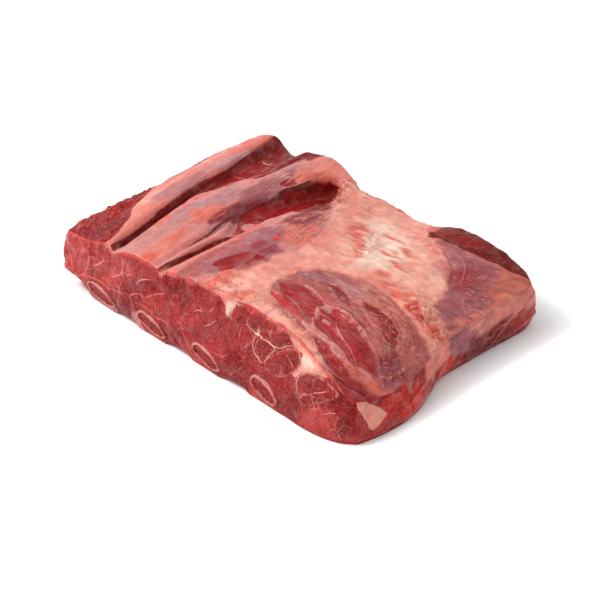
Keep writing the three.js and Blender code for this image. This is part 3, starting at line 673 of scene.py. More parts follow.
        [(-34, 52), (-24, 46), (-14, 54), (-20, 70), (-26, 84), (-36, 84), (-34, 76)],
        [(-8, -80), (20, -78), (40, -74), (62, -72), (86, -78), (98, -84), (84, -70), (60, -65), (34, -67),
         (10, -70), (-6, -68)],
        [(84, 0), (96, -6), (120, -8), (124, 8), (104, 10), (88, 14)],
        [(20, 44), (30, 20), (38, 12), (44, 20), (34, 34), (28, 48)],
    ],
    "streaks": [
        ("orangeRed", 1.3, 0.5, [(-122, -64), (-121, -46), (-121, -30), (-119, -12), (-121, 4)]),
        ("shadowRed", 2.2, 0, [(-82.5, -88), (-83.2, -70), (-85, -58), (-88, -38), (-91, -22), (-93.5, -6),
         (-95, 8), (-96, 22)]),
        ("shadowRed", 1.2, 0, [(-96, 22), (-97.5, 40), (-99.5, 62)]),
        ("salmon", 1.8, 0.5, [(-93, 12), (-84, 12), (-77, 21), (-72, 31), (-69, 42)]),
        ("palePink", 1.6, 0.5, [(-94, 66), (-90.5, 64), (-87.5, 66), (-88.5, 70)]),
        ("salmon", 1.2, 0.3, [(-93, 36), (-84, 40)]),
        ("orangeRed", 1.1, 0.5, [(-62, -14), (-57, -7), (-53.5, -12), (-54.5, -25)]),
        ("palePink", 1, 0.4, [(-110, 40), (-107, 44), (-100, 42), (-98, 34)]),
        ("shadowRed", 1.8, 0, [(-45.5, -55), (-46, -35), (-48, -24), (-49.5, -8), (-50, 8)]),
        ("lilac", 1.1, 0.5, [(-46, -8), (-42, -17), (-37, -28)]),
        ("shadowRed", 2, 0, [(-41, -88), (-40.5, -74), (-38.5, -58), (-36.5, -44), (-34.5, -30),
         (-33.5, -20)]),
        ("shadowRed", 3, 0, [(-50.5, 6), (-49, 20), (-47, 36), (-44.5, 52), (-41.5, 66), (-38, 75),
         (-33, 78)]),
        ("bloodRed", 1.2, 0, [(-2, -79), (10, -78.5), (24, -77)]),
        ("palePink", 1.1, 0.4, [(61.5, -47), (63, -51), (66, -56), (70, -62)]),
        ("palePink", 0.8, 0.3, [(61.5, -48), (66, -49.5), (73, -48.5)]),
        ("marble", 0.7, 0.3, [(76, -45), (79, -51), (87, -54.5), (96, -57.5), (105, -60.5)]),
        ("marble", 0.6, 0.3, [(34, -51), (42, -52), (50, -53.5), (58, -57), (64, -62)]),
        ("salmon", 1.1, 0.5, [(40, -35), (52, -36.5), (61, -40), (68, -38), (76, -37.5), (88, -39.5),
         (99, -43.5), (110, -47.5), (117, -53)]),
        ("salmon", 1.0, 0.5, [(46, -24), (58, -30), (72, -34), (86, -35), (98, -38), (108, -43)]),
        ("salmon", 1.0, 0.5, [(52, -16), (64, -22), (76, -26), (90, -31), (102, -34), (110, -34)]),
        ("shadowRed", 1, -0.4, [(62, -38.5), (70, -36.5), (80, -36.5), (92, -40)]),
        ("shadowRed", 1, -0.4, [(80, -17.5), (92, -17), (102, -20), (110, -27), (113, -33)]),
        ("orangeRed", 2.0, 0.8, [(96, -67), (103, -69), (108, -66), (113, -61), (119, -57)]),
        ("seam", 1, 0.5, [(98, -8), (108, -16), (116, -24), (120, -36)]),
        ("salmon", 1.2, 0.5, [(118, -30), (119, -42), (116, -54)]),
        ("seam", 1, 0.3, [(90, 66), (98, 62), (106, 64), (112, 70)]),
        ("seam", 1, 0.3, [(70, 66), (84, 62), (92, 54), (96, 44)]),
        ("seam", 0.9, 0.3, [(104, 40), (110, 32), (116, 28)]),
        ("shadowRed", 1.6, -0.6, [(96, -80), (106, -77), (118, -70), (127, -62)]),
    ],
}
# The front cut in x and z, written the same way.
frontPaint = {
    "ground": "cut",
    "patches": [
        # paler toward the cut's left end: painted light, where the lamp from the left falls most
        ("cutBright", 4, 2, 0, [(-132, 0), (-106, 0), (-104, 20), (-108, 44), (-132, 44)]),
        ("cutBright", 5, 3, 0, [(-90, 18), (-66, 20), (-50, 28), (-50, 40), (-80, 42), (-94, 34)]),
        # darker low between the ribs: painted shade of the crevices at the foot
        ("cutDark", 4, 3, 0, [(-80, 2), (-60, 2), (-58, 16), (-66, 20), (-80, 16)]),
        ("cutDark", 4, 3, 0, [(-32, 0), (-12, 0), (-10, 14), (-22, 17), (-34, 12)]),
        ("cutDark", 5, 3, 0, [(22, 0), (44, 0), (42, 20), (28, 24), (20, 12)]),
        ("cutDark", 5, 3, -0.4, [(64, 0), (92, 0), (94, 12), (80, 17), (66, 12)]),
        ("cutDark", 6, 4, 0, [(-66, 4), (-50, 24), (-44, 40), (-56, 36), (-72, 22)]),
        ("cutDark", 5, 3, 0, [(-30, 34), (-12, 40), (-8, 52), (-34, 50)]),
        ("cutBright", 4, 3, 0, [(88, 0), (134, 0), (134, 20), (104, 22), (92, 14)]),
        ("cutDark", 3, 2, 0, [(100, 22), (120, 18), (128, 30), (106, 34)]),
        # top edge: the bands and the fat seen end on
        ("salmon", 0.9, 1, 0, [(-134, 43.5), (-116, 42.5), (-100, 45.5), (-80, 47.5), (-45, 47.5),
         (-30, 50.5), (-10, 53.5), (4, 54), (4, 70), (-134, 70)]),
        ("orange", 1, 1.2, 0.3, [(0, 52), (12, 51), (18, 46), (20, 42), (24, 41), (26, 45), (30, 52),
         (44, 52.5), (56, 50), (60, 60), (0, 62)]),
        ("fatWhite", 1.5, 1.2, 0.3, [(17, 50), (19, 43), (21, 42), (23, 46), (28, 50), (24, 53)]),
        ("cutBright", 0.8, 0.6, 0.4, [(23, 43), (25, 41.5), (29, 45), (29, 50), (25, 50.5), (23, 47)]),
        ("fatPale", 1, 1, 0.3, [(55, 51), (60, 48.5), (66, 45.5), (71, 41.5), (80, 40), (80, 36),
         (78, 31.5), (76, 27), (79, 27), (84, 32.5), (92, 34), (104, 34.5), (112, 32), (116, 40), (92, 52),
         (56, 62)]),
        ("orange", 1.5, 1.5, 0.3, [(58, 52), (68, 49), (80, 47), (92, 43), (104, 38), (116, 33), (116, 42),
         (96, 56), (58, 62)]),
        ("fatWhite", 2, 1.5, 0, [(79, 36), (84, 35), (90, 36.5), (88, 40), (81, 41)]),
        ("cutDark", 2, 1, 0, [(116, 6), (127, 8), (129, 24), (122, 28), (116, 18)]),
        ("salmonPink", 2, 1.5, 0, [(-106, 0), (-78, 0), (-80, 4), (-92, 3), (-104, 5)]),
        ("salmonPink", 1.5, 1.5, 0, [(-60, 0), (-50, 0), (-54, 8), (-60, 12)]),
        ("cutBright", 2, 1.5, 0, [(-18, 0), (2, 0), (-4, 10), (-14, 10)]),
        ("cutBright", 2, 1.5, 0, [(44, 0), (68, 0), (66, 6), (50, 5)]),
    ],
    # muscles that stand out a little, each in a pale skin
    "lobes": [
        [(34, 43), (36, 50), (42, 52), (51, 52), (57, 48), (54, 43.5), (47, 41.5), (41, 40.5), (36, 40.5)],
        [(52, 42), (57, 46), (63, 47), (67, 45), (66.5, 41), (61, 38.5), (55, 38.5)],
        [(44, 34), (48, 39), (54, 37.5), (58.5, 35), (56, 30.5), (51, 27.5), (45.5, 29)],
        [(54, 25.5), (58, 32), (65.5, 38), (72, 41), (77, 39), (79, 33.5), (74.5, 26.5), (66, 21.5),
         (58, 22)],
        [(80, 25), (83, 31), (89.5, 34), (97, 33.5), (104.5, 31), (110, 27), (102, 21), (90, 15), (82, 18)],
    ],
    "streaks": [
        ("fatWhite", 1.0, 0.2, [(34, 43.5), (40.5, 39.5), (47.5, 38.5), (52, 37.5), (60, 36.5), (66, 40),
         (70, 41.5)]),
        ("fatWhite", 1.2, 0.2, [(43, 43), (44, 40), (42, 36.5)]),
        ("fatWhite", 0.9, 0.2, [(42, 39), (42, 33), (44.5, 28), (49, 26), (52.5, 25), (56, 31), (60, 36)]),
        # dark lines in the grooves between the lobes: painted shade
        ("cutCreaseShade", 1.5, -1.0, [(-32.5, 42), (-26.5, 40), (-21.5, 46), (-17, 52)]),
        ("marble", 1.2, 0.3, [(-58.5, 30.5), (-54.5, 35.5), (-46, 39)]),
        ("marble", 1.2, 0.3, [(-98, 27.5), (-91, 32.5), (-88, 37)]),
        ("seam", 1.3, 0.3, [(-121.5, 41.5), (-123, 35), (-120.5, 25), (-116.5, 16)]),
        ("seam", 1.3, 0.3, [(-105.5, 42), (-102, 33), (-103.5, 23), (-108, 14)]),
        ("seam", 1.4, 0.3, [(-124, 3), (-115, 12), (-108, 16), (-100, 18.5), (-90, 19.5), (-80, 18.5),
         (-72, 20.5), (-62, 22)]),
        ("marble", 1.1, 0.3, [(-82, 26), (-75, 30.5), (-68, 34), (-60, 36.5)]),
        ("marble", 0.9, 0.2, [(-72, 32), (-70, 38), (-72, 44)]),
        ("seam", 1.1, 0.3, [(-50, 25), (-46, 28), (-41, 31), (-35, 34), (-32, 36)]),
        ("seam", 1.1, 0.3, [(-55, 19), (-48, 20), (-40, 17), (-30, 17), (-26, 14)]),
        ("seam", 1, 0.2, [(-58, 14), (-62, 22), (-54, 26), (-48, 26)]),
        ("marble", 1, 0.3, [(-8, 33), (-4, 36), (0, 37), (-2, 40)]),
        ("marble", 0.9, 0.3, [(3, 28), (8, 32), (12, 36)]),
        ("marble", 0.8, 0.2, [(-14, 30), (-11, 31)]),
        ("marble", 0.8, 0.2, [(6, 39), (9, 43)]),
        ("fatPale", 1, 0.2, [(78, 27), (82, 24), (84, 19)]),
        ("marble", 0.9, 0.2, [(95, 24), (99, 26), (104, 28)]),
        ("marble", 0.9, 0.2, [(103, 14), (108, 17), (112, 18)]),
        ("marble", 0.8, 0.2, [(76, 30), (72, 34), (68, 36)]),
        ("seam", 1, 0.2, [(14, 16), (22, 17), (26, 20)]),
        ("seam", 0.9, 0.2, [(28, 6), (34, 12), (40, 18)]),
        # dark lines in the grooves between the lobes: painted shade
        ("cutCreaseShade", 1.1, -0.8, [(-27, 36), (-22, 42), (-17, 48)]),
        ("cutCreaseShade", 1.1, -0.8, [(-35, 49), (-32, 43)]),
        ("cutCreaseShade", 1.2, -0.8, [(27, 39), (29, 44), (31, 50)]),
        ("cutCreaseShade", 1, -0.6, [(-46, 46), (-40, 47), (-34, 49)]),
        ("cutCreaseShade", 1, -0.6, [(80, 20), (86, 18), (92, 12)]),
        ("cutCreaseShade", 1, -0.6, [(104, 34), (112, 28), (122, 24)]),
        ("cutCreaseShade", 0.9, -0.5, [(108, 14), (116, 8), (124, 6)]),
    ],
}
# The right wall in y and z.
rightPaint = {
    "ground": "muscleDeep",
    "patches": [
        ("muscle", 3, 2, 0, [(-96, 0), (-60, 0), (-20, 4), (-10, 22), (-60, 18), (-96, 30)]),
        ("bloodRed", 3, 3, 0, [(-60, 6), (-34, 4), (-30, 14), (-50, 20), (-64, 14)]),
        ("palePink", 0.9, 0.5, 0.6, [(-79, 27), (-78, 28), (-70, 21), (-61, 13), (-64, 10), (-74, 7),
         (-76, 14)]),
        ("beige", 1, 0.8, 0.4, [(-40, 15), (-37, 14), (-33, 24), (-36, 26), (-39, 22)]),
        ("bloodRed", 2, 2, 0.8, [(-8, 4), (6, 4), (10, 18), (-4, 19)]),
        # the fat running over the upper wall: its own salmon, kept pale as painted light so that it reads lit like
        # the top
        ("salmon", 2.5, 3, 0.2, [(-20, 15), (0, 16), (12, 22), (14, 40), (-24, 40)]),
        ("violet", 3, 3, 0, [(8, 14), (24, 14), (34, 18), (34, 40), (10, 40)]),
        ("salmon", 2.5, 3, 0.3, [(32, 18), (50, 17), (72, 18), (92, 19), (92, 40), (30, 40)]),
        ("muscleDark", 3, 2, 0, [(26, 0), (64, 0), (66, 17), (26, 17)]),
        ("muscle", 3, 2, 0, [(64, 0), (92, 0), (92, 16), (64, 16)]),
    ],
    "streaks": [
        ("orangeRed", 1.5, 0.6, [(-56, 6), (-40, 10), (-24, 14), (-12, 20)]),
        ("salmon", 1.2, 0.5, [(-50, 2), (-30, 6), (-14, 12), (0, 20)]),
        ("salmon", 1.2, 0.5, [(-20, 2), (-8, 8), (4, 16), (14, 22)]),
        ("seam", 1, 0.4, [(4, 2), (14, 8), (22, 16)]),
        ("seam", 1, 0.3, [(36, 4), (50, 10), (60, 18)]),
        ("marble", 0.9, 0.3, [(60, 3), (72, 8), (84, 12)]),
        ("seam", 1, 0.3, [(44, 14), (60, 16), (84, 19)]),
        ("orangeRed", 1.2, 0.4, [(-96, 3), (-70, 3), (-40, 2), (-10, 1)]),
    ],
}
# The back and left walls, which the light reaches less, on a darker ground laid on as painted shade: x or y and z.
backPaint = {
    "ground": "cutDark",
    "patches": [
        ("salmon", 1.5, 1.5, 0.3, [(-126, 46), (-100, 47), (-98, 44), (-66, 44), (-60, 46), (-24, 44),
         (0, 38), (40, 34), (44, 60), (-126, 70)]),
        ("muscleDeep", 3, 2, 0, [(46, 30), (70, 34), (120, 28), (126, 12), (100, 20), (60, 24)]),
        ("cut", 5, 3, 0, [(-110, 18), (-60, 20), (-30, 30), (-70, 38), (-112, 34)]),
        ("cutBright", 5, 3, 0, [(-10, 14), (30, 18), (34, 28), (0, 30)]),
        ("salmonPink", 2, 1.5, 0, [(-112, 0), (-84, 0), (-90, 4), (-106, 4)]),
        ("cutBright", 2, 1.5, 0, [(-64, 0), (-36, 0), (-44, 5), (-58, 5)]),
    ],
    "streaks": [
        ("seam", 1.2, 0.3, [(-120, 12), (-104, 17), (-88, 19), (-70, 17), (-58, 20)]),
        ("marble", 1, 0.3, [(-100, 26), (-88, 31), (-76, 30), (-66, 35)]),
        ("marble", 1, 0.3, [(-50, 24), (-42, 30), (-36, 38)]),
        ("seam", 1.1, 0.3, [(-34, 18), (-20, 20), (-8, 16), (6, 18), (18, 24)]),
        ("fatPale", 1.1, 0.3, [(10, 26), (20, 29), (32, 26), (44, 29), (60, 26)]),
        ("marble", 0.9, 0.2, [(22, 18), (30, 22), (31, 28)]),
        ("marble", 0.9, 0.2, [(72, 12), (84, 17), (98, 16), (112, 20)]),
        # dark lines in the grooves: painted shade
        ("cutCreaseShade", 1.1, -0.8, [(-64, 44), (-60, 36), (-62, 30)]),
        ("cutCreaseShade", 1.1, -0.7, [(40, 34), (44, 28), (52, 24)]),
    ],
}
leftPaint = {
    # a darker ground as painted shade, as on the back
    "ground": "cutDark",
    "patches": [
        ("cutBright", 4, 3, 0, [(-92, 6), (-60, 4), (-50, 30), (-70, 44), (-92, 44)]),
        ("salmon", 2, 2, 0.3, [(0, 38), (20, 40), (60, 41), (94, 40), (94, 60), (0, 60)]),
        ("muscle", 4, 3, 0, [(-30, 16), (10, 18), (40, 26), (10, 36), (-30, 34)]),
        ("salmonPink", 3, 3, 0, [(-92, 0), (94, 0), (94, 4), (40, 6), (-20, 4), (-92, 5)]),
    ],
    "streaks": [
        ("bloodRed", 1.4, 0.4, [(-92, 43), (-70, 44), (-45, 46), (-20, 46), (0, 47), (30, 47)]),
        ("seam", 1.2, 0.3, [(-84, 14), (-60, 18), (-40, 16), (-16, 20), (6, 18)]),
        ("marble", 1, 0.3, [(-70, 26), (-56, 32), (-40, 30), (-30, 36)]),
        ("seam", 1.1, 0.3, [(10, 14), (30, 18), (52, 16), (80, 20)]),
        ("marble", 0.9, 0.2, [(36, 26), (48, 32), (64, 30)]),
    ],
}


# What each kind of surface is like. Turn: its fibres' direction in degrees from +Y; drawn: how much longer
# than wide they are; fibres, lumps: their relief in mm; drift: how much the tone varies along them; streak,
# fleck, wet, mottle: the finish's shares of fibre shading, pale flecks, gloss and fatty blotches; bundle:
# its share of pale seams between muscle bundles.
kinds = {
    "fat": {"turn": 70, "drawn": 2.2, "fibres": 0.35, "lumps": 0.9, "drift": 0.12, "streak": 0.35,
            "fleck": 0.1, "wet": 0.6, "mottle": 1.0, "bundle": 0},
    "bands": {"turn": -5, "drawn": 9, "fibres": 0.16, "lumps": 0.35, "drift": 0.15, "streak": 0.34,
              "fleck": 0.0, "wet": 1.0, "mottle": 0.2, "bundle": 0},
    "hollow": {"turn": -8, "drawn": 10, "fibres": 0.16, "lumps": 0.3, "drift": 0.16, "streak": 0.22,
               "fleck": 0.0, "wet": 1.0, "mottle": 0, "bundle": 0},
    "bare": {"turn": -38, "drawn": 2.5, "fibres": 1.0, "lumps": 0.8, "drift": 0.45, "streak": 0.9,
             "fleck": 1.0, "wet": 0.5, "mottle": 0, "bundle": 0.25},
    "window": {"turn": 81, "drawn": 8, "fibres": 0.4, "lumps": 0.35, "drift": 0.22, "streak": 0.6,
               "fleck": 0.0, "wet": 1.0, "mottle": 0.1, "bundle": 0},
    "backRight": {"turn": 55, "drawn": 4, "fibres": 0.3, "lumps": 0.5, "drift": 0.3, "streak": 0.6,
                  "fleck": 0.1, "wet": 0.5, "mottle": 0.1, "bundle": 0},
    "cut": {"turn": 0, "drawn": 1.3, "fibres": 0.4, "lumps": 1.2, "drift": 0.32, "streak": 0.6,
            "fleck": 0.7, "wet": 0.45, "mottle": 0, "bundle": 1.0},
    "side": {"turn": 62, "drawn": 3.5, "fibres": 0.45, "lumps": 0.7, "drift": 0.35, "streak": 0.7,
             "fleck": 0.4, "wet": 0.7, "mottle": 0, "bundle": 0.6},
    "under": {"turn": 0, "drawn": 6, "fibres": 0.2, "lumps": 0.4, "drift": 0.3, "streak": 0.7,
              "fleck": 0.2, "wet": 0.8, "mottle": 0, "bundle": 0},
}


def turned(u, v, degrees):
    # across and along a direction that many degrees from +v
    a = math.radians(degrees)
    return u * math.cos(a) - v * math.sin(a), u * math.sin(a) + v * math.cos(a)


def kindsOf(places, part):
    kind = np.full(len(places), "under", dtype=object)
    kind[(part == frontPart) | (part == backPart)] = "cut"
    kind[(part == rightPart) | (part == leftPart)] = "side"
    kind[part == topPart] = "fat"
    top = np.flatnonzero(part == topPart)
    for name, outline in topPaint["zones"].items():
        kind[top[gapTo(places[top, :2], rounded(outline), True) < 0]] = name
    return kind


def faceCoordinates(places, part):
    # the two coordinates each face is drawn in, and the depth behind them
    x, y, z = places.T
    lying, facing = part >= underPart, (part == frontPart) | (part == backPart)
    across = np.where(lying | facing, x, y)
    return np.column_stack([across, np.where(lying, y, z)]), np.where(lying, z, np.where(facing, y, x))


def calmOf(kind, faces):
    # 0 where two kinds of surface meet, so that fibres of one don't run into the other
    border = np.zeros(len(kind), bool)
    names = {name: index for index, name in enumerate(kinds)}
    code = np.array([names[k] for k in kind])
    quads = np.array([f if len(f) == 4 else f[:4] for f in faces])
    mixed = code[quads].min(1) != code[quads].max(1)
    border[quads[mixed]] = True
    return 1.0 - border


# The relief and drifts of tone that go over the whole slab. Sizes are widths of lumps and lifts are heights,
# in mm; shares of the way down a wall are from 0 to 1.
relief = {
    "threadSize": 1.6, "strandSize": 4, "strandShare": 0.8, "lumpSize": 9, "pebbleSize": 3.2,
    "pebbleShare": 0.5, "crumbSize": 4, "crumbLift": 1.1, "weaveSize": 2.4, "weaveLift": 0.5,
    "raggedDown": 0.12, "raggedSize": 6, "raggedLift": 0.9, "frayedSize": 2.6, "frayedLift": 0.5,
    "driftSize": 5, "fineDriftSize": 1.8, "fineDriftShare": 0.6, "warmSize": 3.2, "cloudSize": 12,
    "warmTint": (0.1, -0.5, -0.6), "cloudTint": (0.05, 0.1, 0.12), "fatCloudTint": (0.1, 0.34, 0.36),
}
# the ragged rim along the tops of the front, back and left walls: its own colour, lightened as a painted highlight
rimAndHighlightLook = {"from": 0.03, "to": 0.08, "waver": 0.025, "waverSize": 5, "share": 0.85, "changeSize": 8}
zoneEdge = {"waver": 2, "waverSize": 7}  # how the outlines of strings and crumbs wander, in mm
underLook = {"from": 13, "to": 7, "waver": 2, "share": 0.75}  # pale skin under each rib, in mm off its middle


def wobbleOf(grain, look):
    # how far outlines wander on one kind of surface, more along its fibres than across them
    side = noise(grain, 4, 3) + 0.5 * noise(grain, 2, 4)
    on = noise(grain, 3.5, 5) + 0.5 * noise(grain, 1.8, 6)
    on = on * look["drawn"] ** 0.5
    a = math.radians(look["turn"])
    reach = 0.8
    across, along = side * math.cos(a) + on * math.sin(a), -side * math.sin(a) + on * math.cos(a)
    return np.column_stack([across, along]) * reach


def kindFields(kind, uv, depth):
    # for every point: grain coordinates, wobble, the finish's shares, and its kind's relief and drift
    count = len(kind)
    fields = {"grain": np.zeros((count, 3)), "wobble": np.zeros((count, 2)), "finish": np.zeros((count, 4))}
    fields.update({key: np.zeros(count) for key in ("fibres", "lumps", "drift", "bundle")})
    for name, look in kinds.items():
        mine = kind == name
        across, along = turned(uv[mine, 0], uv[mine, 1], look["turn"])
        fields["grain"][mine] = np.column_stack([across, along / look["drawn"], depth[mine]])
        fields["finish"][mine] = look["streak"], look["fleck"], look["wet"], look["mottle"]
        for key in ("fibres", "lumps", "drift", "bundle"):
            fields[key][mine] = look[key]
        fields["wobble"][mine] = wobbleOf(fields["grain"][mine], look)
    return fields


def weaveOf(places, part, bundle, calm):
    # shares of pale strings, muscle bundles and crumbled fat
    weave = np.column_stack([np.zeros(len(places)), bundle, np.zeros(len(places))])
    for column, key, soft in ((0, "stringy", 5), (2, "crumbled", 3)):
        for outline in topPaint[key]:
            gap = gapTo(places[:, :2], rounded(outline), True)
            gap = gap + zoneEdge["waver"] * noise(places, zoneEdge["waverSize"], 70 + column)
            weave[:, column] = np.maximum(weave[:, column], smooth(soft, -soft, gap) * (part == topPart))
    weave[:, 0] *= calm
    return weave


def paintFace(face, plan):
    # all that is drawn on one face
    for name, soft, ragged, rise, outline in plan["patches"]:
        face.patch(name, outline, soft, ragged, rise)
    for outline in plan.get("lobes", []):
        middle = [sum(p[axis] for p in outline) / len(outline) for axis in (0, 1)]
        inner = [tuple(p[axis] + (middle[axis] - p[axis]) * lobeLook["shrunk"] for axis in (0, 1))
                 for p in outline]
        face.patch("lobeSkin", outline, 1.2, lobeLook["ragged"], lobeLook["skinLift"])
        face.patch("lobe", inner, 1.0, lobeLook["ragged"], lobeLook["lift"])
    for name, width, rise, path in plan["streaks"]:
        face.streak(name, path, width, rise)


def rimTintAndHighlight(places, part, down):
    # share and tone of the bright ragged rim along the tops of the walls: the trimmed edge's own red and pale,
    # lightened as a painted highlight
    waver = rimAndHighlightLook["waver"] * noise(places, rimAndHighlightLook["waverSize"], 61)
    share = smooth(rimAndHighlightLook["to"], rimAndHighlightLook["from"], down + waver)
    share = rimAndHighlightLook["share"] * share * np.isin(part, [frontPart, backPart, leftPart])
    change = smooth(-0.2, 0.5, noise(places, rimAndHighlightLook["changeSize"], 62))[:, None]
    return share[:, None], mix(pigment(tones["rimRedAndHighlight"]), pigment(tones["rimPaleAndHighlight"]), change)


def driftOf(places, grain, drift, kind):
    # paler and darker, redder and more violet, in drifts along the fibres
    shade = layers(grain, relief["driftSize"], 3, 20)
    shade = 1 + drift * (shade + relief["fineDriftShare"] * layers(grain, relief["fineDriftSize"], 2, 25))
    warm = (drift * layers(grain, relief["warmSize"], 3, 30))[:, None] * np.array(relief["warmTint"])
    plain, fatty = np.array(relief["cloudTint"]), np.array(relief["fatCloudTint"])
    cloudTint = mix(plain, fatty, (kind == "fat")[:, None] * 1.0)
    warm = warm + layers(places, relief["cloudSize"], 3, 33)[:, None] * cloudTint
    return shade[:, None] * (1 + warm)


def reliefOf(places, part, down, fields, weave):
    # fibres, strings and crumbs, lumps, and the ragged tops of the walls
    grain = fields["grain"]
    fine = layers(grain, relief["threadSize"], 2, 1)
    fine = fields["fibres"] * (fine + relief["strandShare"] * layers(grain, relief["strandSize"], 2, 2))
    fine = fine + weave[:, 2] * relief["crumbLift"] * np.abs(layers(places, relief["crumbSize"], 2, 71))
    fine = fine + weave[:, 0] * relief["weaveLift"] * layers(grain, relief["weaveSize"], 2, 72)
    lumps = layers(places, relief["lumpSize"], 2, 7)
    lumps = fields["lumps"] * (lumps + relief["pebbleShare"] * layers(places, relief["pebbleSize"], 2, 9))
    ragged = relief["raggedLift"] * noise(places, relief["raggedSize"], 63)
    ragged = ragged + relief["frayedLift"] * noise(places, relief["frayedSize"], 64)
    return fine + (lumps + smooth(relief["raggedDown"], 0.0, down) * (part < underPart) * ragged)


def dress(places, part, down, faces):
    # for every point of the slab: tone, crisp patch, line, grain coordinates, finish and relief
    count = len(places)
    kind = kindsOf(places, part)
    fields = kindFields(kind, *faceCoordinates(places, part))
    uv = faceCoordinates(places, part)[0]
    calm = calmOf(kind, faces)
    fields["finish"][:, [0, 3]] *= calm[:, None]
    weave = weaveOf(places, part, fields["bundle"], calm)
    dressed = {"weave": weave, "tone": np.tile(pigment(tones["cutDark"]), (count, 1)),
               "grain": fields["grain"], "finish": fields["finish"],
               "over": np.tile([0.1, 0.1, 0.1, farOff], (count, 1)),
               "line": np.tile([farOff, farOff, 0.0], (count, 1)), "lineTone": np.full((count, 3), 0.1)}
    lift = np.zeros(count)
    plans = {frontPart: frontPaint, rightPart: rightPaint, backPart: backPaint, leftPart: leftPaint,
             topPart: topPaint}
    for number, plan in plans.items():
        mine = part == number
        face = Face(uv[mine], plan["ground"], fields["wobble"][mine])
        paintFace(face, plan)
        lift[mine] = face.lift
        for key in ("tone", "over", "line", "lineTone"):
            dressed[key][mine] = getattr(face, key)
    under = part == underPart
    nearest = np.min([np.abs(places[:, 0] - ribX(bar, places[:, 1])) for bar in ribs["bars"]], axis=0)
    waver = underLook["waver"] * noise(fields["grain"], 2, 8)
    onRib = underLook["share"] * smooth(underLook["from"], underLook["to"], nearest + waver)[:, None]
    dressed["tone"][under] = mix(pigment(tones["cut"]), pigment(tones["greyPink"]), onRib)[under]
    # the bright rim on the walls' tops: its own colour and a painted highlight
    rimAndHighlightShare, rimAndHighlightTone = rimTintAndHighlight(places, part, down)
    tint = driftOf(places, fields["grain"], fields["drift"], kind)
    for key in ("tone", "over"):
        painted = mix(dressed[key][:, :3], rimAndHighlightTone, rimAndHighlightShare)
        dressed[key][:, :3] = np.clip(painted * tint, 0.002, 0.95)
    return dressed, lift + reliefOf(places, part, down, fields, weave)


def fansOf(faces):
    return np.array([(f[0], f[k], f[k + 1]) for f in faces for k in range(1, len(f) - 1)])


def cornersOf(places, faces):
    fans = fansOf(faces)
    return places[fans[:, 0]], places[fans[:, 1]], places[fans[:, 2]]


def normalsOf(places, faces):
    a, b, c = cornersOf(places, faces)
    facing = np.cross(b - a, c - a)
    normals = np.zeros_like(places)
    for corner in fansOf(faces).T:
        np.add.at(normals, corner, facing)
    return normals / np.linalg.norm(normals, axis=1)[:, None]


def softened(places, faces, mask, passes):
    # rounds the edges where mask is 1
    edges = np.array([(f[k], f[(k + 1) % len(f)]) for f in faces for k in range(len(f))])
    edges = np.unique(np.sort(edges, 1), axis=0)
    degree = np.bincount(edges.ravel(), minlength=len(places))[:, None]
    for _ in range(passes):
        total = np.zeros_like(places)
        np.add.at(total, edges[:, 0], places[edges[:, 1]])
        np.add.at(total, edges[:, 1], places[edges[:, 0]])
        places = mix(places, total / degree, 0.6 * mask[:, None])
    return places


def pieceFrom(name, places, faces):
    # a closed piece with its faces looking out
    places = np.asarray(places, float)
    a, b, c = cornersOf(places, faces)
    if (a * np.cross(b, c)).sum() < 0:
        faces = [f[::-1] for f in faces]
    mesh = bpy.data.meshes.new(name)
    mesh.from_pydata((places * mm).tolist(), [], faces)
    mesh.update()
    piece = bpy.data.objects.new(name, mesh)
    bpy.context.scene.collection.objects.link(piece)
    return piece


def combined(piece, other, operation):
    # the piece after one Boolean with the other, as a plain mesh
    modifier = piece.modifiers.new("combine", "BOOLEAN")
    modifier.object, modifier.operation, modifier.solver = other, operation, "MANIFOLD"
    done = bpy.data.meshes.new_from_object(piece.evaluated_get(bpy.context.evaluated_depsgraph_get()))
    piece.modifiers.clear()
    piece.data = done
    return piece


def setValues(mesh, name, kind, key, values):
    attribute = mesh.attributes.get(name) or mesh.attributes.new(name, kind, "POINT")
    attribute.data.foreach_set(key, np.ascontiguousarray(values, np.float32).ravel())


def carry(piece, places, dressed):
    # gives each vertex the finish of the nearest one of the uncut slab, and splits hard edges
    tree = KDTree(len(places))
    for index, place in enumerate(places * mm):
        tree.insert(place, index)
    tree.balance()
    near = np.array([tree.find(vertex.co)[1] for vertex in piece.data.vertices])
    for name, values in dressed.items():
        wide = values.shape[1] == 4 or name in ("tone", "lineTone")
        full = np.column_stack([values, np.ones(len(values))]) if wide and values.shape[1] == 3 else values
        kind, key = ("FLOAT_COLOR", "color") if wide else ("FLOAT_VECTOR", "vector")
        setValues(piece.data, name, kind, key, full[near])
    piece.data.polygons.foreach_set("use_smooth", np.ones(len(piece.data.polygons), bool))
    piece.data.set_sharp_from_angle(angle=math.radians(65))


# The fat cover: its outline in plan and how deep it goes.
fatCover = {
    "outline": [(2, -112), (-3, -60), (4, -35), (10, -12), (8, 10), (0, 30), (-12, 48), (-16, 58), (-22, 70),
                (-31, 83), (-44, 74), (-49, 63), (-58, 58), (-65, 64), (-66, 112), (41, 112), (42, 84),
                (48, 74), (60, 67), (80, 56), (90, 45), (97, 30), (104, 14), (116, 8), (150, 6), (150, -18),
                (126, -14), (100, -9), (70, -3), (45, -10), (31, -22), (27, -40), (31, -56), (46, -65),
                (66, -69), (86, -73), (102, -82), (108, -112)],
    "thickness": 3.6, "wedge": 7, "wedgeAt": (83, -84), "wedgeReach": 18, "cell": 3,
    "block": (-80, 160, -120, 120, 100),  # west, east, south, north, ceiling
}


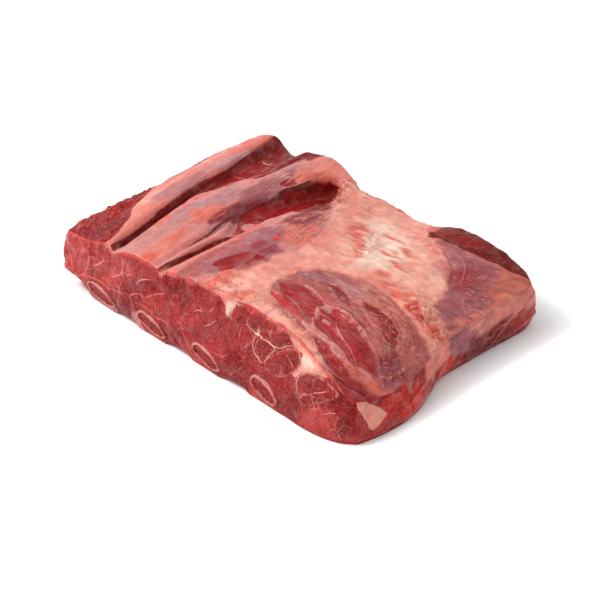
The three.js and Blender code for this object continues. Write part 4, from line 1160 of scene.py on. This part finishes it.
def fatRegion():
    # all that lies above the fat's underside and inside its outline
    west, east, south, north, ceiling = fatCover["block"]
    xs = np.arange(west, east + 1, fatCover["cell"], float)
    ys = np.arange(south, north + 1, fatCover["cell"], float)
    x, y = (grid.ravel() for grid in np.meshgrid(xs, ys))
    away = np.hypot(x - fatCover["wedgeAt"][0], y - fatCover["wedgeAt"][1])
    floor = plainHeight(x, y) - fatCover["thickness"] - fatCover["wedge"] * hump(away, fatCover["wedgeReach"])
    count = len(x)
    places = np.vstack([np.column_stack([x, y, floor]), np.column_stack([x, y, np.full(count, ceiling)])])
    grid = np.arange(count).reshape(len(ys), len(xs))
    a, b, c, d = (part.ravel() for part in (grid[:-1, :-1], grid[:-1, 1:], grid[1:, 1:], grid[1:, :-1]))
    faces = np.stack([a, d, c, b], -1).tolist() + (np.stack([a, b, c, d], -1) + count).tolist()
    border = np.concatenate([grid[0, :-1], grid[:-1, -1], grid[-1, :0:-1], grid[:0:-1, 0]])
    following = np.roll(border, -1)
    faces += np.stack([border, following, following + count, border + count], -1).tolist()
    block = pieceFrom("fatBlock", places, faces)

    line = rounded(fatCover["outline"], 6, closed=False)
    n = len(line)
    low, high = (np.column_stack([line, np.full(n, level)]) for level in (-ceiling / 2, 1.5 * ceiling))
    k = np.arange(n)
    sides = np.stack([k, (k + 1) % n, (k + 1) % n + n, k + n], -1).tolist()
    prism = pieceFrom("fatPrism", np.vstack([low, high]), [k[::-1].tolist(), (k + n).tolist()] + sides)
    return combined(block, prism, "INTERSECT")


def barLoop(bar, growth, sides):
    # a rib's outline in shift along x and height, a little uneven
    x, halfWidth, halfHeight, tilt = bar
    angle = 2 * np.pi * np.arange(sides) / sides
    uneven = 1 + ribs["oval"] * np.sin(2 * angle + x) + ribs["knobs"] * np.sin(5 * angle + 2 * x)
    p, q = (halfWidth * uneven + growth) * np.cos(angle), (halfHeight * uneven + growth) * np.sin(angle)
    turn = math.radians(-tilt)
    return p * math.cos(turn) - q * math.sin(turn), ribs["height"] + p * math.sin(turn) + q * math.cos(turn)


def wallY(side, x, z):
    # where the front or back wall is at x and z
    rimY = curve(slab["rim"][side], x)
    full, low = uncutHeight(x, rimY), footHeight(x, rimY)
    wall = slab["walls"][side]
    bulge, foot, tuck = (curve(wall[key], x) for key in ("bulge", "foot", "tuck"))
    out = standOut(bulge, foot, tuck, np.minimum(1, 1 - (z - low) / (full - low)))
    return rimY - out if side == "front" else rimY + out


def barEnd(bar, side, shift, z, overrun):
    faceY = outwards[side] * slab["halfWidth"]
    y = wallY(side, ribX(bar, faceY) + shift, z) + outwards[side] * overrun
    return np.column_stack([ribX(bar, y) + shift, y, z])


def tunnel(bar):
    # the bar that cuts a rib's way through the slab
    shift, z = barLoop(bar, ribs["gap"] / 2, ribs["sides"])
    n, k = len(z), np.arange(len(z))
    places = np.vstack([barEnd(bar, side, shift, z, ribs["overrun"]) for side in ("front", "back")])
    sides = np.stack([k, k + n, (k + 1) % n + n, (k + 1) % n], -1).tolist()
    return pieceFrom("tunnel", places, [k.tolist(), (k[::-1] + n).tolist()] + sides)


def tubeRing(bar, side, share, rise, seed):
    # one ring of the hard rim's sawn end: share of the way in from its outside, and how far it stands out
    sides = ribs["sides"]
    angle = 2 * np.pi * np.arange(sides) / sides
    uneven = 0.25 * np.sin(angle + 0.3) + 0.12 * np.sin(3 * angle + bar[0])
    shift, z = barLoop(bar, 0, sides)
    inward = np.array([shift.mean(), z.mean()]) - np.column_stack([shift, z])
    inward /= np.linalg.norm(inward, axis=1)[:, None]
    place = np.column_stack([shift, z]) + inward * (ribs["cortex"] * (1 + uneven) * share)[:, None]
    ring = barEnd(bar, side, place[:, 0], place[:, 1], 0)
    fine = ribs["sawMarks"] * layers(ring, 1.8, 2, seed)
    ring[:, 1] += outwards[side] * (ribs["proud"] + rise + fine)
    return ring


def boneTube(number, bar):
    # the hard rim of a rib: a closed tube with soft edges, thicker along its top
    profile = ribs["edge"]
    front = [tubeRing(bar, "front", share, rise, 50 + number) for share, rise in profile]
    back = [tubeRing(bar, "back", share, rise, 50 + number) for share, rise in profile[::-1]]
    steps = ribs["steps"]
    along = [mix(front[-1], back[0], t / steps) for t in range(1, steps)]
    home = [mix(back[-1], front[0], t / steps) for t in range(1, steps)]
    loops = front + along + back + home
    places = np.vstack(loops)
    grid = np.arange(len(places)).reshape(len(loops), ribs["sides"])
    nextLoop, nextSide = np.roll(grid, -1, 0), np.roll(grid, -1, 1)
    both = np.roll(nextLoop, -1, 1)
    faces = np.stack([grid, nextSide, both, nextLoop], -1).reshape(-1, 4)
    return pieceFrom(f"ribBone{number}", places, faces[:, ::-1].tolist())


def marrowEnd(bar, side, seed):
    # rings of one pitted sawn end from its edge inwards, and its middle
    shift, z = barLoop(bar, -ribs["cortex"] - ribs["gap"], ribs["sides"])
    cx, cz = shift.mean(), z.mean()
    level = ribs["proud"] - ribs["recess"]
    cap = []
    for t in np.arange(ribs["pitRings"], 0, -1) / ribs["pitRings"]:
        ring = barEnd(bar, side, cx + (shift - cx) * t, cz + (z - cz) * t, 0)
        pits = ribs["pits"] * layers(ring, 1.6, 2, seed) - ribs["worn"] * smooth(0.8, 1, t)
        ring[:, 1] += outwards[side] * (level + pits)
        cap.append(ring)
    return cap, barEnd(bar, side, np.array([cx]), np.array([cz]), level)


def marrowCore(number, bar):
    # the spongy middle: a bar whose sawn ends are pitted
    (frontCap, frontCentre), (backCap, backCentre) = (marrowEnd(bar, side, 60 + number) for side in outwards)
    steps, sides = ribs["steps"], ribs["sides"]
    along = [mix(frontCap[0], backCap[0], t / steps) for t in range(1, steps)]
    loops = frontCap[::-1] + along + backCap
    places = np.vstack(loops + [frontCentre, backCentre])
    grid = np.arange(len(loops) * sides).reshape(len(loops), sides)
    nextSide = np.roll(grid, -1, 1)
    faces = np.stack([grid[:-1], nextSide[:-1], nextSide[1:], grid[1:]], -1).reshape(-1, 4)[:, ::-1].tolist()
    first, last = len(places) - 2, len(places) - 1
    for k in range(sides):
        n = (k + 1) % sides
        faces.append([first, int(grid[0, k]), int(grid[0, n])])
        faces.append([last, int(grid[-1, n]), int(grid[-1, k])])
    return pieceFrom(f"ribMarrow{number}", places, faces)


# Shader maths: a socket that can be used in Python expressions.

class Value:
    def __init__(self, tree, socket):
        self.tree, self.socket = tree, socket

    def maths(self, operation, first, second):
        return self.tree.node("ShaderNodeMath", {"operation": operation}, {0: first, 1: second})

    def __add__(self, other):
        return self.maths("ADD", self, other)

    def __sub__(self, other):
        return self.maths("SUBTRACT", self, other)

    def __rsub__(self, other):
        return self.maths("SUBTRACT", other, self)

    def __mul__(self, other):
        return self.maths("MULTIPLY", self, other)

    def __abs__(self):
        return self.tree.node("ShaderNodeMath", {"operation": "ABSOLUTE"}, {0: self})

    __radd__, __rmul__ = __add__, __mul__


class Finish:
    # a material and the nodes in it
    def __init__(self, name):
        self.material = bpy.data.materials.new(name)
        self.material.use_nodes = True
        self.tree = self.material.node_tree
        self.tree.nodes.clear()

    def node(self, kind, settings=None, inputs=None, output=0):
        made = self.tree.nodes.new(kind)
        for key, value in (settings or {}).items():
            if key == "stops":
                ramp = made.color_ramp.elements
                while len(ramp) < len(value):
                    ramp.new(0.5)
                for stop, (place, colour) in zip(ramp, value):
                    stop.position, stop.color = place, colour
            else:
                setattr(made, key, value)
        for key, value in (inputs or {}).items():
            if isinstance(value, Value):
                self.tree.links.new(value.socket, made.inputs[key])
            else:
                made.inputs[key].default_value = value
        return Value(self, made.outputs[output]) if made.outputs else None

    def attribute(self, name, output="Vector"):
        return self.node("ShaderNodeAttribute", {"attribute_name": name}, output=output)

    def parts(self, vector):
        split = self.node("ShaderNodeSeparateXYZ", None, {0: vector}).socket.node
        return [Value(self, socket) for socket in split.outputs]

    def noise(self, place, size, detail=3.0, roughness=0.55):
        # size is the width of a lump, in the units of place
        return self.node("ShaderNodeTexNoise", None, {"Vector": place, "Scale": 0.6 / size, "Detail": detail,
                                                      "Roughness": roughness})

    def ramp(self, value, low, high):
        return self.node("ShaderNodeMapRange", {"interpolation_type": "SMOOTHSTEP"},
                         {"Value": value, "From Min": low, "From Max": high})

    def blend(self, share, first, second, way="MIX"):
        return self.node("ShaderNodeMix", {"data_type": "RGBA", "blend_type": way},
                         {0: share, 6: first, 7: second}, output=2)

    def scaled(self, vector, amount):
        return self.node("ShaderNodeVectorMath", {"operation": "SCALE"}, {0: vector, "Scale": amount})

    def mask(self, field, touch):
        # where the field is in the touch's range
        return self.ramp(field, *touch[0])

    def touched(self, tone, mask, touch):
        # the tone with the touch's own laid over it
        return self.blend(mask * touch[1], tone, rgba(touch[2]))

    def warped(self, place, size, reach):
        # place pushed about by up to reach, in lumps of that size
        lumps = self.node("ShaderNodeTexNoise", None, {"Vector": place, "Scale": 0.6 / size, "Detail": 2.0},
                          output=1)
        shift = self.node("ShaderNodeVectorMath", {"operation": "SUBTRACT"}, {0: lumps, 1: (0.5, 0.5, 0.5)})
        push = self.scaled(shift, reach * 2)
        return self.node("ShaderNodeVectorMath", {"operation": "ADD"}, {0: place, 1: push})

    def cells(self, place, size):
        # distance to the nearest border between cells of that size
        edge = self.node("ShaderNodeTexVoronoi", {"feature": "DISTANCE_TO_EDGE"},
                         {"Vector": place, "Scale": 1 / size})
        return edge * size

    def finish(self, bump, depth, strength, **inputs):
        normal = self.node("ShaderNodeBump", None, {"Height": bump, "Distance": depth, "Strength": strength})
        shader = self.node("ShaderNodeBsdfPrincipled", None, {**inputs, "Normal": normal})
        self.node("ShaderNodeOutputMaterial", None, {"Surface": shader})
        return self.material


def rgba(tone, gain=1.0):
    return (*(pigment(tone) * gain), 1)


# The finish shared by meat and fat. Sizes are widths in mm. A touch is a range of the noise that it shows in,
# its share and its tone; a height is its part of the bump.
fleshLook = {
    "sizes": {"fibre": 1.1, "thread": 1.5, "blotch": 2.8, "speck": 0.7, "cloud": 3.0, "wrinkle": 3.4,
              "bundle": 8.0, "patch": 12.8, "rarePatch": 17.6, "wisp": 1.7, "crumb": 2.2, "puddle": 4.5},
    "fray": 1.6, "lineFray": 0.3, "lineCore": 0.3, "lineShare": 0.9, "edge": (0.3, -0.3),
    "lineEnd": (1.9, 1.3), "broken": (0.25, 0.5), "patchy": (0.52, 0.66), "rare": (0.5, 0.62),
    "damp": (0.46, 0.6),
    "cream": ((0.55, 0.7), 0.4, (250, 216, 196)), "blush": ((0.45, 0.32), 0.35, (226, 120, 100)),
    "veins": ((0.03, 0.0), 0.5, (216, 92, 76)), "threads": ((0.05, 0.0), 0.18, (240, 184, 172)),
    "hollows": ((0.47, 0.35), 0.55, (140, 62, 72)), "wisps": ((0.06, 0.015), 0.5, (232, 158, 142)),
    "crumbs": ((0.52, 0.64), 0.42, (220, 104, 86)), "curds": ((0.47, 0.37), 0.42, (250, 216, 196)),
    "flecks": ((0.56, 0.7), 0.5, (228, 140, 130)), "marbling": (None, 0.6, (228, 150, 138)),
    "seam": {"width": 0.12, "wider": 0.3, "fade": 0.2, "core": 0.4, "warpSize": 3.5, "warp": 2.2},
    "streaks": 0.9, "clouds": 0.5, "specks": 0.8,
    "heights": {"ridge": 0.25, "specks": 0.8, "clouds": 0.6, "blotches": 0.8, "veins": 0.3, "wisps": 0.8,
                "grit": 3},
    "rough": 0.45, "roughDrift": 0.25, "sheen": 0.18, "shine": 0.12, "coat": 0.75, "coatRough": 0.07,
    "bump": 0.7, "soak": 0.15, "soakReach": 0.6, "soakTint": (1.0, 0.35, 0.25),
}
middle = 0.5  # what the noises swing round


def paintedTone(made, look, fray, clouds):
    # soft tones, then crisp patches, then lines, with their edges frayed along the fibres
    tone = made.attribute("tone", "Color")
    inside = made.ramp(made.attribute("over", "Alpha") + fray, *look["edge"])
    tone = made.blend(inside, tone, made.attribute("over", "Color"))
    signed, gap, half = made.parts(made.attribute("line"))
    onLine = made.ramp(abs(signed + fray * look["lineFray"]), half, half * look["lineCore"])
    onLine = onLine * made.ramp(gap, *look["lineEnd"]) * made.ramp(clouds, *look["broken"])
    return made.blend(onLine * look["lineShare"], tone, made.attribute("lineTone", "Color"))


def marblingOf(made, look, grain, bundle, patchy, rare):
    # pale seams between the muscle bundles, here and there
    seam = look["seam"]
    border = made.cells(made.warped(grain, seam["warpSize"], seam["warp"]), look["sizes"]["bundle"])
    width = seam["width"] + rare * seam["wider"]
    return made.ramp(border, width + seam["fade"], width * seam["core"]) * patchy * bundle


def flesh(name, look):
    made = Finish(name)
    sizes, heights = look["sizes"], look["heights"]
    grain = made.attribute("grain")
    streak, fleck, wet = made.parts(made.attribute("finish", "Color"))
    mottle = made.attribute("finish", "Alpha")
    strand, bundle, crumb = made.parts(made.attribute("weave"))
    place = made.scaled(made.node("ShaderNodeTexCoord", output="Object"), 1 / mm)
    fibres = made.noise(grain, sizes["fibre"], 4)
    blotches = made.noise(grain, sizes["blotch"], 3)
    specks = made.noise(place, sizes["speck"], 2)
    clouds = made.noise(place, sizes["cloud"], 3)
    grit = made.noise(place, sizes["crumb"], 2)
    patchy = made.ramp(made.noise(place, sizes["patch"], 1), *look["patchy"])
    rare = made.ramp(made.noise(place, sizes["rarePatch"], 1), *look["rare"])
    damp = made.ramp(made.noise(place, sizes["puddle"], 3), *look["damp"])
    veins = made.mask(abs(made.noise(grain, sizes["wrinkle"], 3) - middle), look["veins"]) * rare * mottle
    ridge = made.mask(abs(made.noise(grain, sizes["thread"], 2) - middle), look["threads"]) * streak
    wisps = made.mask(abs(made.noise(grain, sizes["wisp"], 1) - middle), look["wisps"]) * strand
    marbling = marblingOf(made, look, grain, bundle, patchy, rare)

    tone = paintedTone(made, look, (fibres - middle) * look["fray"], clouds)
    for key, mask in (("cream", made.mask(blotches, look["cream"]) * mottle),
                      ("blush", made.mask(blotches, look["blush"]) * mottle),
                      ("veins", veins), ("marbling", marbling), ("threads", ridge),
                      ("hollows", made.mask(fibres, look["hollows"]) * strand), ("wisps", wisps),
                      ("crumbs", made.mask(grit, look["crumbs"]) * crumb),
                      ("curds", made.mask(grit, look["curds"]) * crumb),
                      ("flecks", made.mask(specks, look["flecks"]) * fleck)):
        tone = made.touched(tone, mask, look[key])
    shade = 1 + (fibres - middle) * streak * look["streaks"] + (clouds - middle) * look["clouds"]
    shade = shade + (specks - middle) * fleck * look["specks"]
    rough = look["rough"] - wet * look["sheen"] + (clouds - middle) * look["roughDrift"]
    height = fibres * streak + ridge * heights["ridge"] + specks * fleck * heights["specks"]
    height = height + clouds * heights["clouds"] + blotches * mottle * heights["blotches"]
    height = height - veins * heights["veins"] + wisps * heights["wisps"] + grit * crumb * heights["grit"]
    return made.finish(height, look["bump"] * mm, 1.0, **{
        "Base Color": made.scaled(tone, shade), "Roughness": rough, "Coat Weight": damp * wet * look["coat"],
        "Coat Roughness": look["coatRough"], "Specular IOR Level": look["shine"],
        "Subsurface Weight": look["soak"], "Subsurface Radius": look["soakTint"],
        "Subsurface Scale": look["soakReach"] * mm})


# Sawn bone: its hard rim and spongy middle. Pale from one height in mm to the other.
boneLook = {
    "rim": {"tone": (224, 140, 128), "dark": (186, 78, 74), "pores": 0.5, "bump": 0.3, "rough": 0.4,
            "coat": 0.4, "top": (234, 172, 160), "topShare": 0.6},
    "marrow": {"tone": (178, 58, 58), "dark": (122, 28, 33), "pores": 0.9, "bump": 0.9, "rough": 0.5,
               "coat": 0.1, "top": (206, 116, 108), "topShare": 0.45},
    "both": {"cloud": 2.2, "poreWidth": 0.9, "pore": (0.45, 0.1), "mottled": (0.4, 0.68), "paleFrom": 10.5,
             "paleTo": 14, "paleWaver": 8, "poreShare": 0.45, "poreDark": 0.6, "roughDrift": 0.2,
             "cloudHeight": 0.6, "poreHeight": 0.8, "coatRough": 0.15, "shine": 0.15, "soak": 0.1, "soakReach": 0.6,
             "soakTint": (1.0, 0.4, 0.3)},
}


def bony(name, look):
    made = Finish(name)
    both = boneLook["both"]
    place = made.scaled(made.node("ShaderNodeTexCoord", output="Object"), 1 / mm)
    pores = made.node("ShaderNodeTexVoronoi", {"feature": "F1"},
                      {"Vector": place, "Scale": both["poreWidth"] / look["pores"]})
    clouds = made.noise(place, both["cloud"], 4)
    holes = made.ramp(pores, *both["pore"])
    colour = made.blend(made.ramp(clouds, *both["mottled"]), rgba(look["tone"]), rgba(look["dark"]))
    height = made.parts(place)[2] + (clouds - middle) * both["paleWaver"]
    pale = made.ramp(height, both["paleFrom"], both["paleTo"]) * look["topShare"]
    colour = made.blend(pale, colour, rgba(look["top"]))
    colour = made.blend(holes * both["poreShare"], colour, rgba(look["dark"], both["poreDark"]))
    relief = clouds * both["cloudHeight"] - holes * both["poreHeight"]
    return made.finish(relief, look["bump"] * mm, 1.0, **{
        "Base Color": colour, "Roughness": look["rough"] + (clouds - middle) * both["roughDrift"],
        "Coat Weight": look["coat"], "Coat Roughness": both["coatRough"], "Specular IOR Level": both["shine"],
        "Subsurface Weight": both["soak"], "Subsurface Radius": both["soakTint"],
        "Subsurface Scale": both["soakReach"] * mm})






# How the slab's hard edges are rounded: weights in from the rim, shares of the way down a wall, and passes.
softening = {"rimWeights": (1.0, 0.7, 0.3), "rimPasses": 3, "rimDown": (0.06, 0.02), "footDown": 0.97,
             "footWeight": 0.5, "farPasses": 14, "farDown": (0.22, 0.05), "farX": 124, "farReach": (9, 3),
             "flatDown": 0.93}


def rimEdge(part, down, grid):
    # the rim of the top and the foot of the walls
    rim = np.zeros(grid.shape)
    for depth, weight in enumerate(softening["rimWeights"]):
        for line in (np.s_[depth, :], np.s_[-1 - depth, :], np.s_[:, depth], np.s_[:, -1 - depth]):
            rim[line] = np.maximum(rim[line], weight)
    edge = np.zeros(len(part))
    edge[:grid.size] = rim.ravel()
    onWall = part < underPart
    edge = np.maximum(edge, np.where(onWall & (down > 0), smooth(*softening["rimDown"], down), 0))
    return np.maximum(edge, np.where(onWall & (down > softening["footDown"]), softening["footWeight"], 0))


def farEdge(places, part, down):
    # the broad round edge over the right and back walls
    wall = smooth(*softening["farDown"], down) * np.isin(part, [rightPart, backPart])
    top = smooth(*softening["farReach"], softening["farX"] - places[:, 0]) * (part == topPart)
    return np.clip(wall + top, 0, 1)


# The slab: one finely meshed body, then cut into meat and fat cover like the frame's solids.
places, faces, part, down, grid = makeSlab()
print(f"slab: {len(places)} points, {len(faces)} faces")
dressed, lift = dress(places, part, down, faces)
normals = normalsOf(places, faces)
shaped = softened(places, faces, rimEdge(part, down, grid), softening["rimPasses"])
shaped = softened(shaped, faces, farEdge(places, part, down), softening["farPasses"])
keepFlat = np.where(part == underPart, 0.0, smooth(1, softening["flatDown"], down))
shaped = shaped + normals * (lift * keepFlat)[:, None]
print("relief and tones are on")

meat = pieceFrom("meat_body", shaped, faces)
cover = pieceFrom("fat_layer", shaped, faces)
region = fatRegion()
combined(cover, region, "INTERSECT")
combined(meat, region, "DIFFERENCE")
cutters = [region]
for bar in ribs["bars"]:
    cutters.append(tunnel(bar))
    combined(meat, cutters[-1], "DIFFERENCE")
for piece in (meat, cover):
    carry(piece, shaped, dressed)
    print(f"{piece.name}: {len(piece.data.polygons)} faces")
for cutter in cutters + [o for o in bpy.data.objects if o.name.startswith("fatPrism")]:
    bpy.data.objects.remove(cutter)

meat.data.materials.clear()
meat.data.materials.append(flesh("wetMeat", fleshLook))
cover.data.materials.clear()
cover.data.materials.append(flesh("pinkFat", fleshLook))
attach(meat, "root")
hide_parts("meat")
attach(cover, "root")
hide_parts("fat_cover")
rimMaterial, marrowMaterial = bony("sawnBone", boneLook["rim"]), bony("spongyBone", boneLook["marrow"])
for number, bar in enumerate(ribs["bars"], 1):
    for maker, material, node, slotName in ((boneTube, rimMaterial, f"rib_bone_{number}", "bone"),
                                            (marrowCore, marrowMaterial, f"rib_marrow_{number}", "marrow")):
        piece = maker(number, bar)
        piece.data.polygons.foreach_set("use_smooth", np.ones(len(piece.data.polygons), bool))
        piece.data.materials.append(material)
        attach(piece, "root")
        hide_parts(node)
print("bones are in")

# Studio: pale floor, a soft light and a small bright one from the upper left, pale surroundings.
studio = {"floor": 3.0, "floorTone": (246, 246, 246), "floorRough": 0.9, "turn": -50, "rise": 52,
          "far": 1.6, "lamps": {"key": (1.1, 18.0), "spark": (0.2, 6.0)}, "sky": 0.8}  # lamps: size and power


def towards(turn, rise):
    # the direction that many degrees round from the front and up
    turn, rise = math.radians(turn), math.radians(rise)
    return Vector((math.sin(turn) * math.cos(rise), -math.cos(turn) * math.cos(rise), math.sin(rise)))


def makeFloor():
    half = studio["floor"] / 2
    mesh = bpy.data.meshes.new("floor")
    mesh.from_pydata([(-half, -half, 0), (half, -half, 0), (half, half, 0), (-half, half, 0)], [],
                     [(0, 1, 2, 3)])
    floor = bpy.data.objects.new("floor", mesh)
    bpy.context.scene.collection.objects.link(floor)
    made = Finish("paleFloor")
    shader = made.node("ShaderNodeBsdfPrincipled", None, {"Base Color": (*linear(studio["floorTone"]), 1),
                                                          "Roughness": studio["floorRough"],
                                                          "Specular IOR Level": 0.0})
    made.node("ShaderNodeOutputMaterial", None, {"Surface": shader})
    mesh.materials.append(made.material)


def makeLight():
    away = towards(studio["turn"], studio["rise"])
    for name, (size, power) in studio["lamps"].items():
        light = bpy.data.lights.new(name, "AREA")
        light.size, light.energy = size, power
        lamp = bpy.data.objects.new(name, light)
        lamp.location = away * studio["far"]
        lamp.rotation_euler = away.to_track_quat("Z", "Y").to_euler()
        bpy.context.scene.collection.objects.link(lamp)
    world = bpy.data.worlds.new("pale")
    world.use_nodes = True
    world.node_tree.nodes["Background"].inputs["Color"].default_value = (1, 1, 1, 1)
    world.node_tree.nodes["Background"].inputs["Strength"].default_value = studio["sky"]
    bpy.context.scene.world = world
    bpy.context.scene.view_settings.view_transform = "Standard"


# The camera stands where the photograph was taken from, in millimetres and degrees.
view = {"turn": 42.97, "rise": 33.62, "far": 1300, "target": (27.81, -27.48, 30), "lens": 126.01,
        "sensor": 36}


def makeCamera():
    back = towards(view["turn"], view["rise"])
    camera = bpy.data.objects.new("camera", bpy.data.cameras.new("camera"))
    camera.data.sensor_width, camera.data.lens = view["sensor"], view["lens"]
    camera.location = (Vector(view["target"]) + back * view["far"]) * mm
    camera.rotation_euler = back.to_track_quat("Z", "Y").to_euler()
    bpy.context.scene.collection.objects.link(camera)
    bpy.context.scene.camera = camera


makeFloor()
makeLight()
makeCamera()
print("studio and camera are set")
